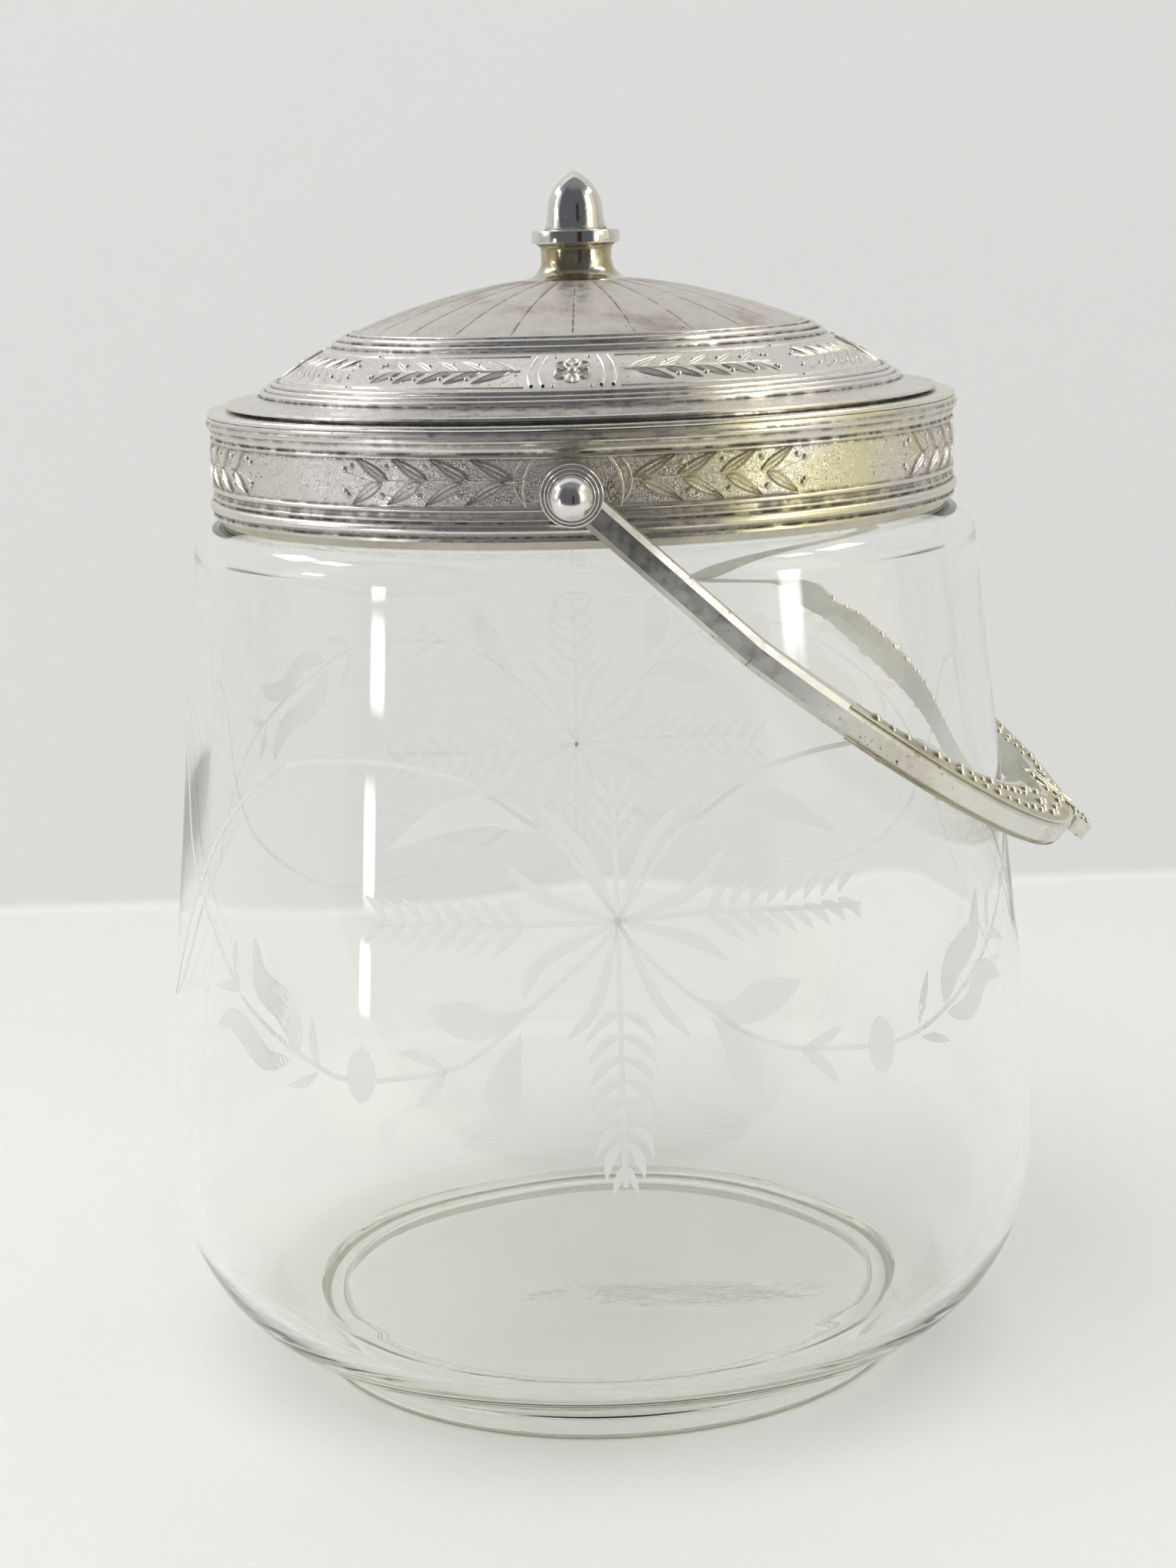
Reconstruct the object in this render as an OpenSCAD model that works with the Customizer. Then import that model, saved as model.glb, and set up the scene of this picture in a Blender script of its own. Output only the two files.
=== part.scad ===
// Glass biscuit jar with a plated collar, a lift-off domed lid and a swing handle.
// Millimetres. Origin on the jar's axis at the plane it stands on, +Z up.
// The handle turns about the Y axis direction and hangs towards +X.

/* [Glass] */
// Widest radius of the glass body
belly_r = 72.1; // [68:0.5:78]
// Height of the widest place
belly_z = 35; // [30:1:40]
// Width of the shoulder outside the neck
shoulder_w = 7.9; // [7:0.1:9]
// Height where the shoulder begins to turn in
shoulder_z = 134.6; // [125:1:145]
// Rounding of the shoulder
shoulder_round = 5; // [4:0.5:6]
// Wall of the glass
glass_wall = 3; // [2.5:0.25:3.5]
// Outer radius of the neck inside the collar; collar, handle and lid take their width from it
neck_r = 55.1; // [50:0.1:61]
// Wall of the neck
neck_wall = 3.1; // [2.7:0.1:3.5]
// Height of the neck above the shoulder
neck_h = 16.8; // [15:0.4:19]
// Radius of the foot ring where it stands
foot_r = 49.9; // [46:0.5:52]
// Height of the foot ring
foot_h = 4; // [3:0.5:5]
// Width of the foot ring's standing face, chamfers included
foot_w = 3.6; // [3:0.2:5]
// Height of the hollow under the floor
punt_h = 2.6; // [1.5:0.2:3]
// Height of the inside floor
floor_z = 8.5; // [7:0.5:10]

/* [Collar] */
// Width of the plaster between the neck and the band
bedding_w = 3.3; // [3.1:0.1:4]
// Sheet thickness of the band
band_t = 0.8; // [0.6:0.1:1]
// Gap between the shoulder of the glass and the lower edge of the band
collar_gap = 1.3; // [0.8:0.1:2]
// Radius of the large bead round the lower edge
bead_r = 0.9; // [0.7:0.05:1.1]
// Thickness of the rim plate that the lid stands on
rim_t = 0.8; // [0.6:0.1:1.2]
// How far the rim plate reaches in over the mouth
rim_lap = 0.7; // [0.4:0.1:1]

/* [Handle] */
// Height of the pivot above the lower edge of the band
pivot_up = 7.1; // [6:0.1:8.5]
// How far the hanging handle lies below the horizontal
droop = 38.5; // [35:0.5:45]
// Set that the crown has taken about its long axis, front side low
rack = 2.3; // [0:0.1:5]
// Thickness of the handle across its flat faces
bail_t = 4.4; // [3.6:0.2:5]
// Width of the arms, seen on the flat face
arm_w = 3; // [2.6:0.1:3.4]
// Width of the crown between the inner cusp and the outer edge
crown_w = 11; // [9:0.5:14]
// Bevel along the outer edges
bail_bevel = 0.9; // [0.5:0.1:1.2]
// Radius of the eyes that turn on the screws
eye_r = 4.3; // [3.8:0.1:4.6]
// Length of the bosses that carry the handle clear of the collar
boss_l = 2.4; // [2:0.1:3.5]
// Diameter of the pivot screws
screw_d = 3.3; // [3:0.1:4]
// Radius of the ball on each pivot screw
ball_r = 3.5; // [3:0.1:4]

/* [Lid] */
// How far the lid's flange stops short of the edge of the collar
flange_in = 2.85; // [1.5:0.05:4]
// Sheet thickness of the lid
lid_t = 1; // [0.8:0.1:1.2]
// Height of the dome's foot above the seat
dome_low = 11.5; // [10:0.5:13]
// Height of the finial's seat above the lid's seat
dome_top = 18.6; // [17:0.2:21]
// Number of grooves that fan out over the dome
grooves = 24; // [12:1:36]
// Depth of the fanned grooves
groove_depth = 0.25; // [0.15:0.05:0.4]
// Depth that the lid's inner ring reaches into the mouth
bezel_h = 5; // [4:0.5:8]

/* [Finial] */
// Radius of the turned disc under the acorn
disc_r = 7.05; // [6:0.1:8]
// Radius of the acorn at its base
acorn_r = 4.5; // [4:0.1:5.5]
// Height of the acorn
acorn_h = 9.2; // [7:0.2:10]
// Diameter of the threaded stud
stud_d = 4; // [3:0.5:5]

/* [Hidden] */
$fn = 144;

silver = "#c9c5bb";
brass = "#b08d4a";

// clearances
cut = 1;               // how far a cut runs past the solid that it opens
seat_play = 0.05;      // between pieces that are bedded or soldered together
bed_play = 0.15;       // between the plaster and what it beds, clear of both all round
run_play = 0.3;        // between pieces that move past each other
bore_play = 0.08;      // radial play of the eyes on the pivot screws
lid_play = 0.45;       // between the lid's inner ring and the rim plate

// glass
side_ease = 0.1;       // how gently the belly passes into the straight side
shoulder_r = neck_r + shoulder_w;   // where the shoulder begins to turn in
mouth_r = neck_r - neck_wall;
foot_top_r = foot_r + 0.5;
neck_root = 1;         // fillet between the shoulder and the neck
edge_break = 0.6;
shoulder_top = shoulder_z + shoulder_round;
glass_top = shoulder_top + neck_h;

// collar
collar_low = shoulder_top + collar_gap;
collar_top = glass_top;
collar_h = collar_top - collar_low;
band_in = neck_r + bedding_w;
band_r = band_in + band_t;
rim_in = mouth_r - rim_lap;
seat_z = collar_top + rim_t;
lip_w = 0.35;          // edge that turns out below the large bead
lip_h = 0.8;
moulding_r = band_r + 0.55;
moulding_h = 3;        // hollow moulding under the rim
moulding_swell = 0.3;
collar_reeds = [[3.1, 0.28], [4.5, 0.38], [collar_h - 3.5, 0.28]];   // height and radius
cartouche_r = 7;       // raised line round the plain disc behind each pivot
cartouche_w = 0.6;
cartouche_up = 0.3;

// pivots
pivot_z = collar_low + pivot_up;
washer_t = 0.4;
nut_t = 1.9;
nut_af = 5.5;
boss_r = eye_r;
boss_seat = 0.4;       // how far the boss's foot stands off the band, inside its solder
boss_end = band_r + boss_l;
washer_end = boss_end + washer_t;
arm_in = washer_end + run_play;
arm_out = arm_in + arm_w;
head_in = arm_out + run_play;
head_steps = [[4.6, 1], [4.1, 0.7], [3.5, 0.6]];   // radius and thickness of each step
head_l = head_steps[0][1] + head_steps[1][1] + head_steps[2][1];
ball_out = head_in + head_l + 0.55 * ball_r;
nut_out = band_in - 0.2;
screw_tip = neck_r + 0.4;

// handle
tongue_r = 4.8;
tongue_t = 2.6;
tongue_up = 0.4;       // how far its middle lies above the middle of the crown
tongue_out = 5.8;      // how far the tongue stands out from the crown
scallop_r = 7.6;       // hollows on either side of the inner cusp
scallop_back = 4;      // from the cusp back to the centres of the hollows
cusp_w = 0.8;          // width of the point that is left between them
notch_r = 1.3;         // nicks on either side of the tongue
notch_out = 0.4;

// lid
bezel_r = rim_in - lid_play;
bezel_t = 0.8;
flange_lift = 0.45;    // shadow gap under the edge of the flange
flange_t = 0.65;
flange_edge = 0.3;     // chamfer along the top of the flange
foot_ring_w = 1.6;     // ring under the flange that the lid stands on
flange_r = moulding_r - flange_in;
lid_foot = [flange_r - 6, 2.2];   // where the flange meets the mouldings: radius, height over the seat
frieze_low = [flange_r - 8.5, 4];
frieze_high = [flange_r - 17, 9.1];
frieze_bulge = 0.25;
dome_r = flange_r - 21.2;
finial_seat_r = 8.8;
dome_bulge = 0.9;      // how far the dome stands out from a straight cone
lid_reeds = [[6.1, 2.4, 0.6], [7.1, 3.1, 0.5], [8, 3.8, 0.5],
    [17.9, 9.6, 0.55], [19.4, 10.4, 0.65], [20.7, 11.1, 0.4]];   // in from the flange, height, size
groove_angle = 0.7;    // width of a groove, as an angle round the axis
groove_span = [0.05:0.1:0.95];   // where it starts and ends, as shares of the dome's slope

// knob
knob_seat = seat_z + dome_top;
neck_w = 5.7;          // radius of the finial's neck
foot_fillet = 3.1;
neck_fillet = 1;
disc_z = knob_seat + 5.6;
disc_t = 2.2;
disc_edge = 0.35;      // rounding along the disc's flat edge
acorn_z = disc_z + disc_t;
acorn_rim = 0.5;       // how far the acorn flares out at its lower edge
acorn_flare = 0.25;    // share of its height that the flare takes
socket_h = 8;          // depth of the tapped hole for the stud
knob_washer_t = 0.8;
knob_washer_r = 6;
knob_nut_t = 3;
knob_nut_af = 7;
stud_tail = 0.8;       // thread that shows below the nut

function arc(c, r, from, to, steps = 8) =
    [for (i = [0:steps]) let (a = from + (to - from) * i / steps) c + r * [cos(a), sin(a)]];

// Quarter of an ellipse, from its lowest point to its widest point.
function lower_quarter(c, a, b, steps = 12) =
    [for (i = [0:steps]) let (t = 90 * i / steps) [c[0] + a * sin(t), c[1] - b * cos(t)]];

// Radius of the side of the glass at height z, between the belly and the shoulder.
function side_share(t) = (sqrt(t * t + side_ease * side_ease) - side_ease)
    / (sqrt(1 + side_ease * side_ease) - side_ease);
function side_r(z) = belly_r - (belly_r - shoulder_r)
    * side_share((z - belly_z) / (shoulder_z - belly_z));
function side(inset, from, to, steps = 12) =
    [for (i = [0:steps]) let (z = from + (to - from) * i / steps) [side_r(z) - inset, z]];

// Curve that stands out from the straight line a-b by a shallow arc: a point of it, and its outline.
function bow_point(a, b, rise, t) = a + t * (b - a)
    + 4 * rise * t * (1 - t) * [b[1] - a[1], a[0] - b[0]] / norm(b - a);
function bowed(a, b, rise, steps = 10) = [for (i = [0:steps]) bow_point(a, b, rise, i / steps)];

module ring_of(points) {
    rotate_extrude() polygon(points);
}

// Round moulding that runs all the way round at radius r and height z.
module reed(r, z, size) {
    translate([0, 0, z]) rotate_extrude() translate([r, 0]) circle(r = size, $fn = 32);
}

// Places its children at the front pivot, side = -1, or the back one, side = 1,
// with local +Z pointing away from the jar along the pivot's axis.
module at_pivot(side) {
    translate([0, 0, pivot_z]) rotate([side * -90, 0, 0]) children();
}

module glass_jar() {
    outside = concat(
        [[0, punt_h], [foot_r - foot_w - edge_break, punt_h], [foot_r - foot_w, punt_h - edge_break],
            [foot_r - foot_w, edge_break], [foot_r - foot_w + edge_break, 0],
            [foot_r - edge_break, 0], [foot_r, edge_break]],
        lower_quarter([foot_top_r, belly_z], belly_r - foot_top_r, belly_z - foot_h),
        side(0, belly_z + 4, shoulder_z),
        arc([shoulder_r - shoulder_round, shoulder_z], shoulder_round, 10, 90),
        arc([neck_r + neck_root, shoulder_top + neck_root], neck_root, 270, 180, 3),
        arc([neck_r - 1, glass_top - 1], 1, 0, 90, 4));
    color("#dfe8e2", 0.45)
    ring_of(concat(outside, inside_wall()));
}

// Inner outline of the glass, from the lip down to the middle of the floor.
function inside_wall() =
    let (
        in_r = shoulder_r - glass_wall,
        in_top = shoulder_top - glass_wall,
        turn = 2.5,
        quarter = lower_quarter([foot_top_r, belly_z], belly_r - glass_wall - foot_top_r,
            belly_z - floor_z),
        last = len(quarter) - 1)
    concat(
        arc([mouth_r + 1, glass_top - 1], 1, 90, 180, 4),
        arc([mouth_r + turn, in_top + turn], turn, 180, 270, 5),
        arc([in_r - turn, in_top - turn], turn, 90, 0, 5),
        side(glass_wall, in_top - turn - 4, belly_z + 4),
        [for (i = [0:last]) quarter[last - i]],
        [[0, floor_z]]);

// Ring of set plaster that beds the collar on the neck and shows as a line above the shoulder.
module plaster_bedding() {
    low = shoulder_top + seat_play;
    high = collar_top - seat_play;
    inner = neck_r + bed_play;
    outer = band_in - bed_play;
    root = neck_root + 2 * seat_play;
    color("#e6ddc6")
    difference() {
        ring_of([[neck_r + root, low], [outer, low], [outer, high], [inner, high],
            [inner, shoulder_top + root]]);
        for (side = [-1, 1]) at_pivot(side) cylinder(h = band_r, r = nut_af);
    }
}

module collar_band() {
    blank_in = band_in - bead_r;
    color(silver)
    difference() {
        union() {
            ring_of([[blank_in, collar_low], [band_r + lip_w, collar_low],
                [band_r + lip_w, collar_low + lip_h - lip_w], [band_r, collar_low + lip_h],
                [band_r, collar_top - moulding_h], [moulding_r, collar_top - moulding_h + lip_w],
                [moulding_r + moulding_swell, collar_top - moulding_h / 2],
                [moulding_r, collar_top], [blank_in, collar_top]]);
            reed(band_r - 0.1, collar_low + lip_h + bead_r, bead_r);
            for (line = collar_reeds) reed(band_r, collar_low + line[0], line[1]);
            intersection() {
                ring_of([[band_in, collar_low + lip_h], [band_r + cartouche_up, collar_low + lip_h],
                    [band_r + cartouche_up, collar_top - lip_h], [band_in, collar_top - lip_h]]);
                for (side = [-1, 1]) at_pivot(side) difference() {
                    cylinder(h = band_r + cut, r = cartouche_r);
                    translate([0, 0, -cut]) cylinder(h = band_r + 3 * cut, r = cartouche_r - cartouche_w);
                }
            }
        }
        translate([0, 0, collar_low - cut]) cylinder(h = collar_h + 2 * cut, r = band_in);
        for (side = [-1, 1]) at_pivot(side) cylinder(h = band_r + cut, d = screw_d + 2 * bore_play);
    }
}

// Flat plate with a rounded edge that closes the collar and carries the lid.
module collar_rim() {
    half = rim_t / 2;
    color(silver)
    ring_of(concat(
        arc([rim_in + half, collar_top + half], half, 90, 270),
        arc([moulding_r - half, collar_top + half], half, -90, 90)));
}

module handle_boss(side) {
    color(silver)
    difference() {
        at_pivot(side) cylinder(h = boss_end, r = boss_r);
        cylinder(h = glass_top * 2, r = band_r + boss_seat);
        at_pivot(side) cylinder(h = boss_end + cut, d = screw_d + 2 * bore_play);
    }
}
module handle_boss_front() { handle_boss(-1); }
module handle_boss_back() { handle_boss(1); }

// Ball-headed screw, its head turned in steps behind the ball.
module pivot_screw(side) {
    step_1 = head_in + head_steps[0][1];
    step_2 = step_1 + head_steps[1][1];
    color(silver) at_pivot(side) {
        translate([0, 0, screw_tip]) cylinder(h = step_1 - screw_tip, d = screw_d);
        translate([0, 0, head_in]) cylinder(h = head_steps[0][1], r = head_steps[0][0]);
        translate([0, 0, step_1]) cylinder(h = head_steps[1][1], r = head_steps[1][0]);
        translate([0, 0, step_2]) cylinder(h = head_steps[2][1], r = head_steps[2][0]);
        translate([0, 0, ball_out]) sphere(r = ball_r, $fn = 64);
    }
}
module pivot_screw_front() { pivot_screw(-1); }
module pivot_screw_back() { pivot_screw(1); }

module pivot_nut(side) {
    color(brass) at_pivot(side) translate([0, 0, nut_out - nut_t]) difference() {
        cylinder(h = nut_t, d = nut_af / cos(30), $fn = 6);
        translate([0, 0, -cut]) cylinder(h = nut_t + 2 * cut, d = screw_d + 2 * seat_play);
    }
}
module pivot_nut_front() { pivot_nut(-1); }
module pivot_nut_back() { pivot_nut(1); }

module pivot_washer(side) {
    color(brass) at_pivot(side) translate([0, 0, boss_end]) difference() {
        cylinder(h = washer_t, r = boss_r);
        translate([0, 0, -cut]) cylinder(h = washer_t + 2 * cut, d = screw_d + 2 * bore_play);
    }
}
module pivot_washer_front() { pivot_washer(-1); }
module pivot_washer_back() { pivot_washer(1); }

// Reach of the inner cusp, where the hanging handle all but touches the glass.
function cusp_reach(v, passes) = passes == 0 ? v : cusp_reach(
    (side_r(pivot_z - v * sin(droop) - bail_t / 2 * cos(droop)) + run_play
        + bail_t / 2 * sin(droop)) / cos(droop), passes - 1);
cusp_v = cusp_reach(90, 6);
crown_v = cusp_v + crown_w;
outer_c = crown_v - arm_out;      // centre of the crown's outer arc
inner_c = cusp_v - arm_in;        // centre of the opening's arc
arm_mid = (arm_in + arm_out) / 2;
arm_tall = bail_t + 4 * arm_mid * sin(rack);
splay = atan(arm_mid * sin(rack) / outer_c);   // arms rise or fall to meet the set crown

// Half disc with bevelled edges that the crown is cut from.
module crown_blank() {
    half = bail_t / 2;
    translate([outer_c, 0, 0]) rotate([0, 0, -90]) rotate_extrude(angle = 180)
        polygon([[0, -half], [arm_out - bail_bevel, -half], [arm_out, bail_bevel - half],
            [arm_out, half - bail_bevel], [arm_out - bail_bevel, half], [0, half]]);
}

// Straight arm from the eye to the crown, bevelled along its outer face.
module arm_blank(side) {
    half = bail_t / 2;
    width = 2 * arm_w;
    length = outer_c / cos(splay);
    translate([outer_c, side * arm_out, 0]) rotate([0, -side * splay, 0]) rotate([90, 0, -90])
        mirror([side > 0 ? 1 : 0, 0, 0]) linear_extrude(length)
        polygon([[-width, -half], [-bail_bevel, -half], [0, bail_bevel - half],
            [0, half - bail_bevel], [-bail_bevel, half], [-width, half]]);
}

// Everything inside the handle's arms, cut away.
module opening() {
    translate([inner_c, 0, -arm_tall / 2]) cylinder(h = arm_tall, r = arm_in);
    translate([-eye_r - cut, -arm_in, -arm_tall / 2]) cube([inner_c + eye_r + cut, 2 * arm_in, arm_tall]);
}

// The handle lies in its own plane here: +X to the crown, Y along the pivots.
module bail_flat() {
    difference() {
        union() {
            intersection() {
                rotate([rack, 0, 0]) difference() {
                    union() {
                        crown_blank();
                        translate([crown_v + tongue_out - tongue_r, 0, tongue_up - tongue_t / 2])
                            cylinder(h = tongue_t, r = tongue_r);
                        for (side = [-1, 1]) arm_blank(side);
                    }
                    opening();
                    for (side = [-1, 1]) {
                        translate([cusp_v - scallop_back, side * (scallop_r + cusp_w / 2), -bail_t])
                            cylinder(h = 2 * bail_t, r = scallop_r);
                        translate([crown_v + notch_out, side * (tongue_r + notch_r - 0.2), -bail_t])
                            cylinder(h = 2 * bail_t, r = notch_r);
                    }
                }
                translate([-eye_r, -arm_out, -arm_tall])
                    cube([crown_v + 2 * eye_r, 2 * arm_out, 2 * arm_tall]);
            }
            for (side = [-1, 1]) rotate([90, 0, 0]) translate([0, 0, side < 0 ? -arm_out : arm_in])
                cylinder(h = arm_w, r = eye_r);
        }
        translate([-eye_r - cut, -arm_in, -arm_tall]) cube([2 * eye_r + 2 * cut, 2 * arm_in, 2 * arm_tall]);
        rotate([90, 0, 0]) translate([0, 0, -arm_out - cut])
            cylinder(h = 2 * (arm_out + cut), d = screw_d + 2 * bore_play);
    }
}

module bail_handle() {
    color(silver) translate([0, 0, pivot_z]) rotate([0, droop, 0]) bail_flat();
}

// Outline of the lid from the flange's edge up to the finial's seat.
function lid_outside() = concat(
    [[flange_r, seat_z + flange_lift], [flange_r, seat_z + flange_lift + flange_t - flange_edge],
        [flange_r - flange_edge, seat_z + flange_lift + flange_t], [lid_foot[0], seat_z + lid_foot[1]]],
    lid_slopes());

function dome_point(t) = bow_point([dome_r, seat_z + dome_low], [finial_seat_r, knob_seat], dome_bulge, t);
function lid_slopes() = concat(
    bowed(frieze_low + [0, seat_z], frieze_high + [0, seat_z], frieze_bulge, 6),
    [for (i = [0:10]) dome_point(i / 10)]);

module lid_shell() {
    seat_in = rim_in + 0.6;
    under = seat_z + flange_lift;
    slopes = lid_slopes();
    last = len(slopes) - 1;
    color(silver)
    difference() {
        rotate([0, 0, 180 / grooves]) union() {
            ring_of(concat(
                lid_outside(),
                [[0, knob_seat], [0, knob_seat - lid_t]],
                [for (i = [0:last]) slopes[last - i] - [lid_t * 0.35, lid_t]],
                [[frieze_low[0] - lid_t, under], [seat_in, under], [seat_in, seat_z],
                    [seat_in + foot_ring_w, seat_z], [seat_in + foot_ring_w, under]]));
            for (line = lid_reeds) reed(flange_r - line[0], seat_z + line[1], line[2]);
        }
        for (i = [0:grooves - 1]) rotate([0, 0, i * 360 / grooves]) dome_groove();
        translate([0, 0, seat_z]) cylinder(h = dome_top + cut, d = stud_d + 2 * seat_play);
    }
}

// One of the grooves that fan out over the dome: a thin wedge that follows its curve.
module dome_groove() {
    floor_line = [for (t = groove_span) dome_point(t) - [0, groove_depth]];
    last = len(floor_line) - 1;
    rotate([0, 0, -groove_angle / 2]) rotate_extrude(angle = groove_angle)
        polygon(concat(floor_line, [[floor_line[last][0], knob_seat + cut],
            [floor_line[0][0], knob_seat + cut]]));
}

// Inner ring that keeps the lid over the mouth.
module lid_bezel() {
    low = seat_z - bezel_h;
    edge = 0.3;
    color(silver)
    ring_of([[bezel_r - bezel_t, low], [bezel_r - edge, low], [bezel_r, low + edge],
        [bezel_r, seat_z + flange_lift], [bezel_r - bezel_t, seat_z + flange_lift]]);
}

// Turned finial: a flared foot, a disc and an acorn.
module knob_finial() {
    edge = disc_edge;
    color(silver)
    difference() {
        ring_of(concat(
            [[0, knob_seat], [finial_seat_r, knob_seat]],
            arc([neck_w + foot_fillet, knob_seat + foot_fillet + 0.1], foot_fillet, 270, 180),
            arc([neck_w + neck_fillet, disc_z - 1.1], neck_fillet, 180, 120, 4),
            arc([disc_r - edge, disc_z + edge], edge, 270, 360, 3),
            arc([disc_r - edge, disc_z + disc_t - edge], edge, 0, 90, 3),
            [for (i = [0:14]) let (t = sin(90 * i / 14))
                [acorn_r * (1 - pow(t, 3.5)) + acorn_rim * pow(max(0, 1 - t / acorn_flare), 2),
                    acorn_z + acorn_h * t]]));
        translate([0, 0, knob_seat - cut]) cylinder(h = socket_h + cut, d = stud_d + 2 * seat_play);
    }
}

module knob_stud() {
    low = knob_seat - lid_t - knob_washer_t - knob_nut_t - stud_tail;
    color(brass) translate([0, 0, low]) cylinder(h = knob_seat + socket_h - 0.5 - low, d = stud_d);
}

module knob_washer() {
    color(brass) translate([0, 0, knob_seat - lid_t - knob_washer_t]) difference() {
        cylinder(h = knob_washer_t, r = knob_washer_r);
        translate([0, 0, -cut]) cylinder(h = knob_washer_t + 2 * cut, d = stud_d + 2 * seat_play);
    }
}

module knob_nut() {
    color(brass) translate([0, 0, knob_seat - lid_t - knob_washer_t - knob_nut_t]) difference() {
        cylinder(h = knob_nut_t, d = knob_nut_af / cos(30), $fn = 6);
        translate([0, 0, -cut]) cylinder(h = knob_nut_t + 2 * cut, d = stud_d + 2 * seat_play);
    }
}

glass_jar();
plaster_bedding();
collar_band();
collar_rim();
handle_boss_front();
handle_boss_back();
pivot_screw_front();
pivot_screw_back();
pivot_nut_front();
pivot_nut_back();
pivot_washer_front();
pivot_washer_back();
bail_handle();
lid_shell();
lid_bezel();
knob_finial();
knob_stud();
knob_washer();
knob_nut();
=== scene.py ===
"""Biscuit jar: what it looks like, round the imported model. The helpers take millimetres."""

from math import ceil, cos, dist, hypot, log, pi, radians, sin, sqrt

import bpy
import numpy as np
from mathutils import Matrix, Vector


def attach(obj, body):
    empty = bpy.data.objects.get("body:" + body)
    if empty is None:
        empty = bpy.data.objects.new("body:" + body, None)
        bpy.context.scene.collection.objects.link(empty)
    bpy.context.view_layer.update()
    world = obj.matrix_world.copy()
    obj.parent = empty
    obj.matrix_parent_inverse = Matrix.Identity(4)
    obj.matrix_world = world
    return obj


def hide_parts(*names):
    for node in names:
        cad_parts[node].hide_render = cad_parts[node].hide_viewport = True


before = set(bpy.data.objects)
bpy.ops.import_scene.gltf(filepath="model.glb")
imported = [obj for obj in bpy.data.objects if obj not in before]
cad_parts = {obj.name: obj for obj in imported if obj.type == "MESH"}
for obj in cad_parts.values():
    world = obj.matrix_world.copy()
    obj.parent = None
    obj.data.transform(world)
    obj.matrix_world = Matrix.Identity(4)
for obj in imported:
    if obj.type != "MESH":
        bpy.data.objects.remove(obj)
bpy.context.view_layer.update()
scene = bpy.context.scene
MM = 0.001
TAU = 2 * pi
SMOOTH = 35  # degrees: sharper edges than this stay sharp

# ---- sizes in mm, as in the solids except for some of the glass

BELLY_R, BELLY_Z = 72.1, 35.0
SHOULDER_R, SHOULDER_Z, SHOULDER_ROUND = 63.0, 134.6, 5.0
WALL, NECK_R, MOUTH_R, NECK_ROOT = 3.0, 55.1, 52.0, 1.0
FOOT_R, FOOT_H, FOOT_W, PUNT_H, FLOOR_Z = 49.9, 5.8, 3.6, 2.6, 10.6
SHOULDER_TOP, GLASS_TOP, HEEL_R = 139.6, 156.4, 54.2
BAND_R, BAND_IN, COLLAR_LOW, COLLAR_TOP = 59.2, 58.4, 140.9, 156.4
RIM_IN, RIM_OUT, SEAT_Z = 51.3, 59.75, 157.2
PIVOT_Z, CARTOUCHE_R = 148.0, 7.0
HEAD_IN, BALL_R = 65.6, 3.5
DROOP, RACK = 38.5, 2.3  # degrees that the handle hangs down and lies askew
BAIL_HALF = 2.2
CROWN_C, CROWN_R = 33.86, 65.3  # centre and radius of the crown's outer edge
OPEN_C, OPEN_R = 25.9, 62.3  # and of the opening's
FLANGE_R, DOME_LOW_Z, KNOB_SEAT = 56.9, 168.7, 175.8
DOME_R, FINIAL_SEAT_R, DOME_BULGE = 35.7, 8.8, 0.9
GROOVES = 24  # number of them in the dome
FRIEZE_LOW, FRIEZE_HIGH, FRIEZE_BULGE = (48.4, 161.2), (39.9, 166.3), 0.25
FLARE_R, FLARE_OUT, FLARE_UP = FOOT_R + 0.5, BELLY_R - FOOT_R - 0.5, BELLY_Z - FOOT_H  # foot to belly
GROUND_H, GROUND_W = 1.3, 0.95  # height and width of the foot's ground edge
UNEVEN_TOP = 132.0  # up to here the inside of the glass is uneven
MOTIF_S, MOTIF_Z = 4.8, 87.5  # middle of the engraved star
ROUND_R, CUT_LOW, CUT_HIGH = 68.0, 0.02, 0.075  # where the engraving is measured, and its two skins
FIELD_Z, FRIEZE_R = 149.4, 44.15  # middle of the collar's field and of the frieze
SCALLOP_V, SCALLOP_U, SCALLOP_R = 84.2, 8.0, 8.15  # the hollows on both sides of the crown's cusp


# ---- materials


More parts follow.
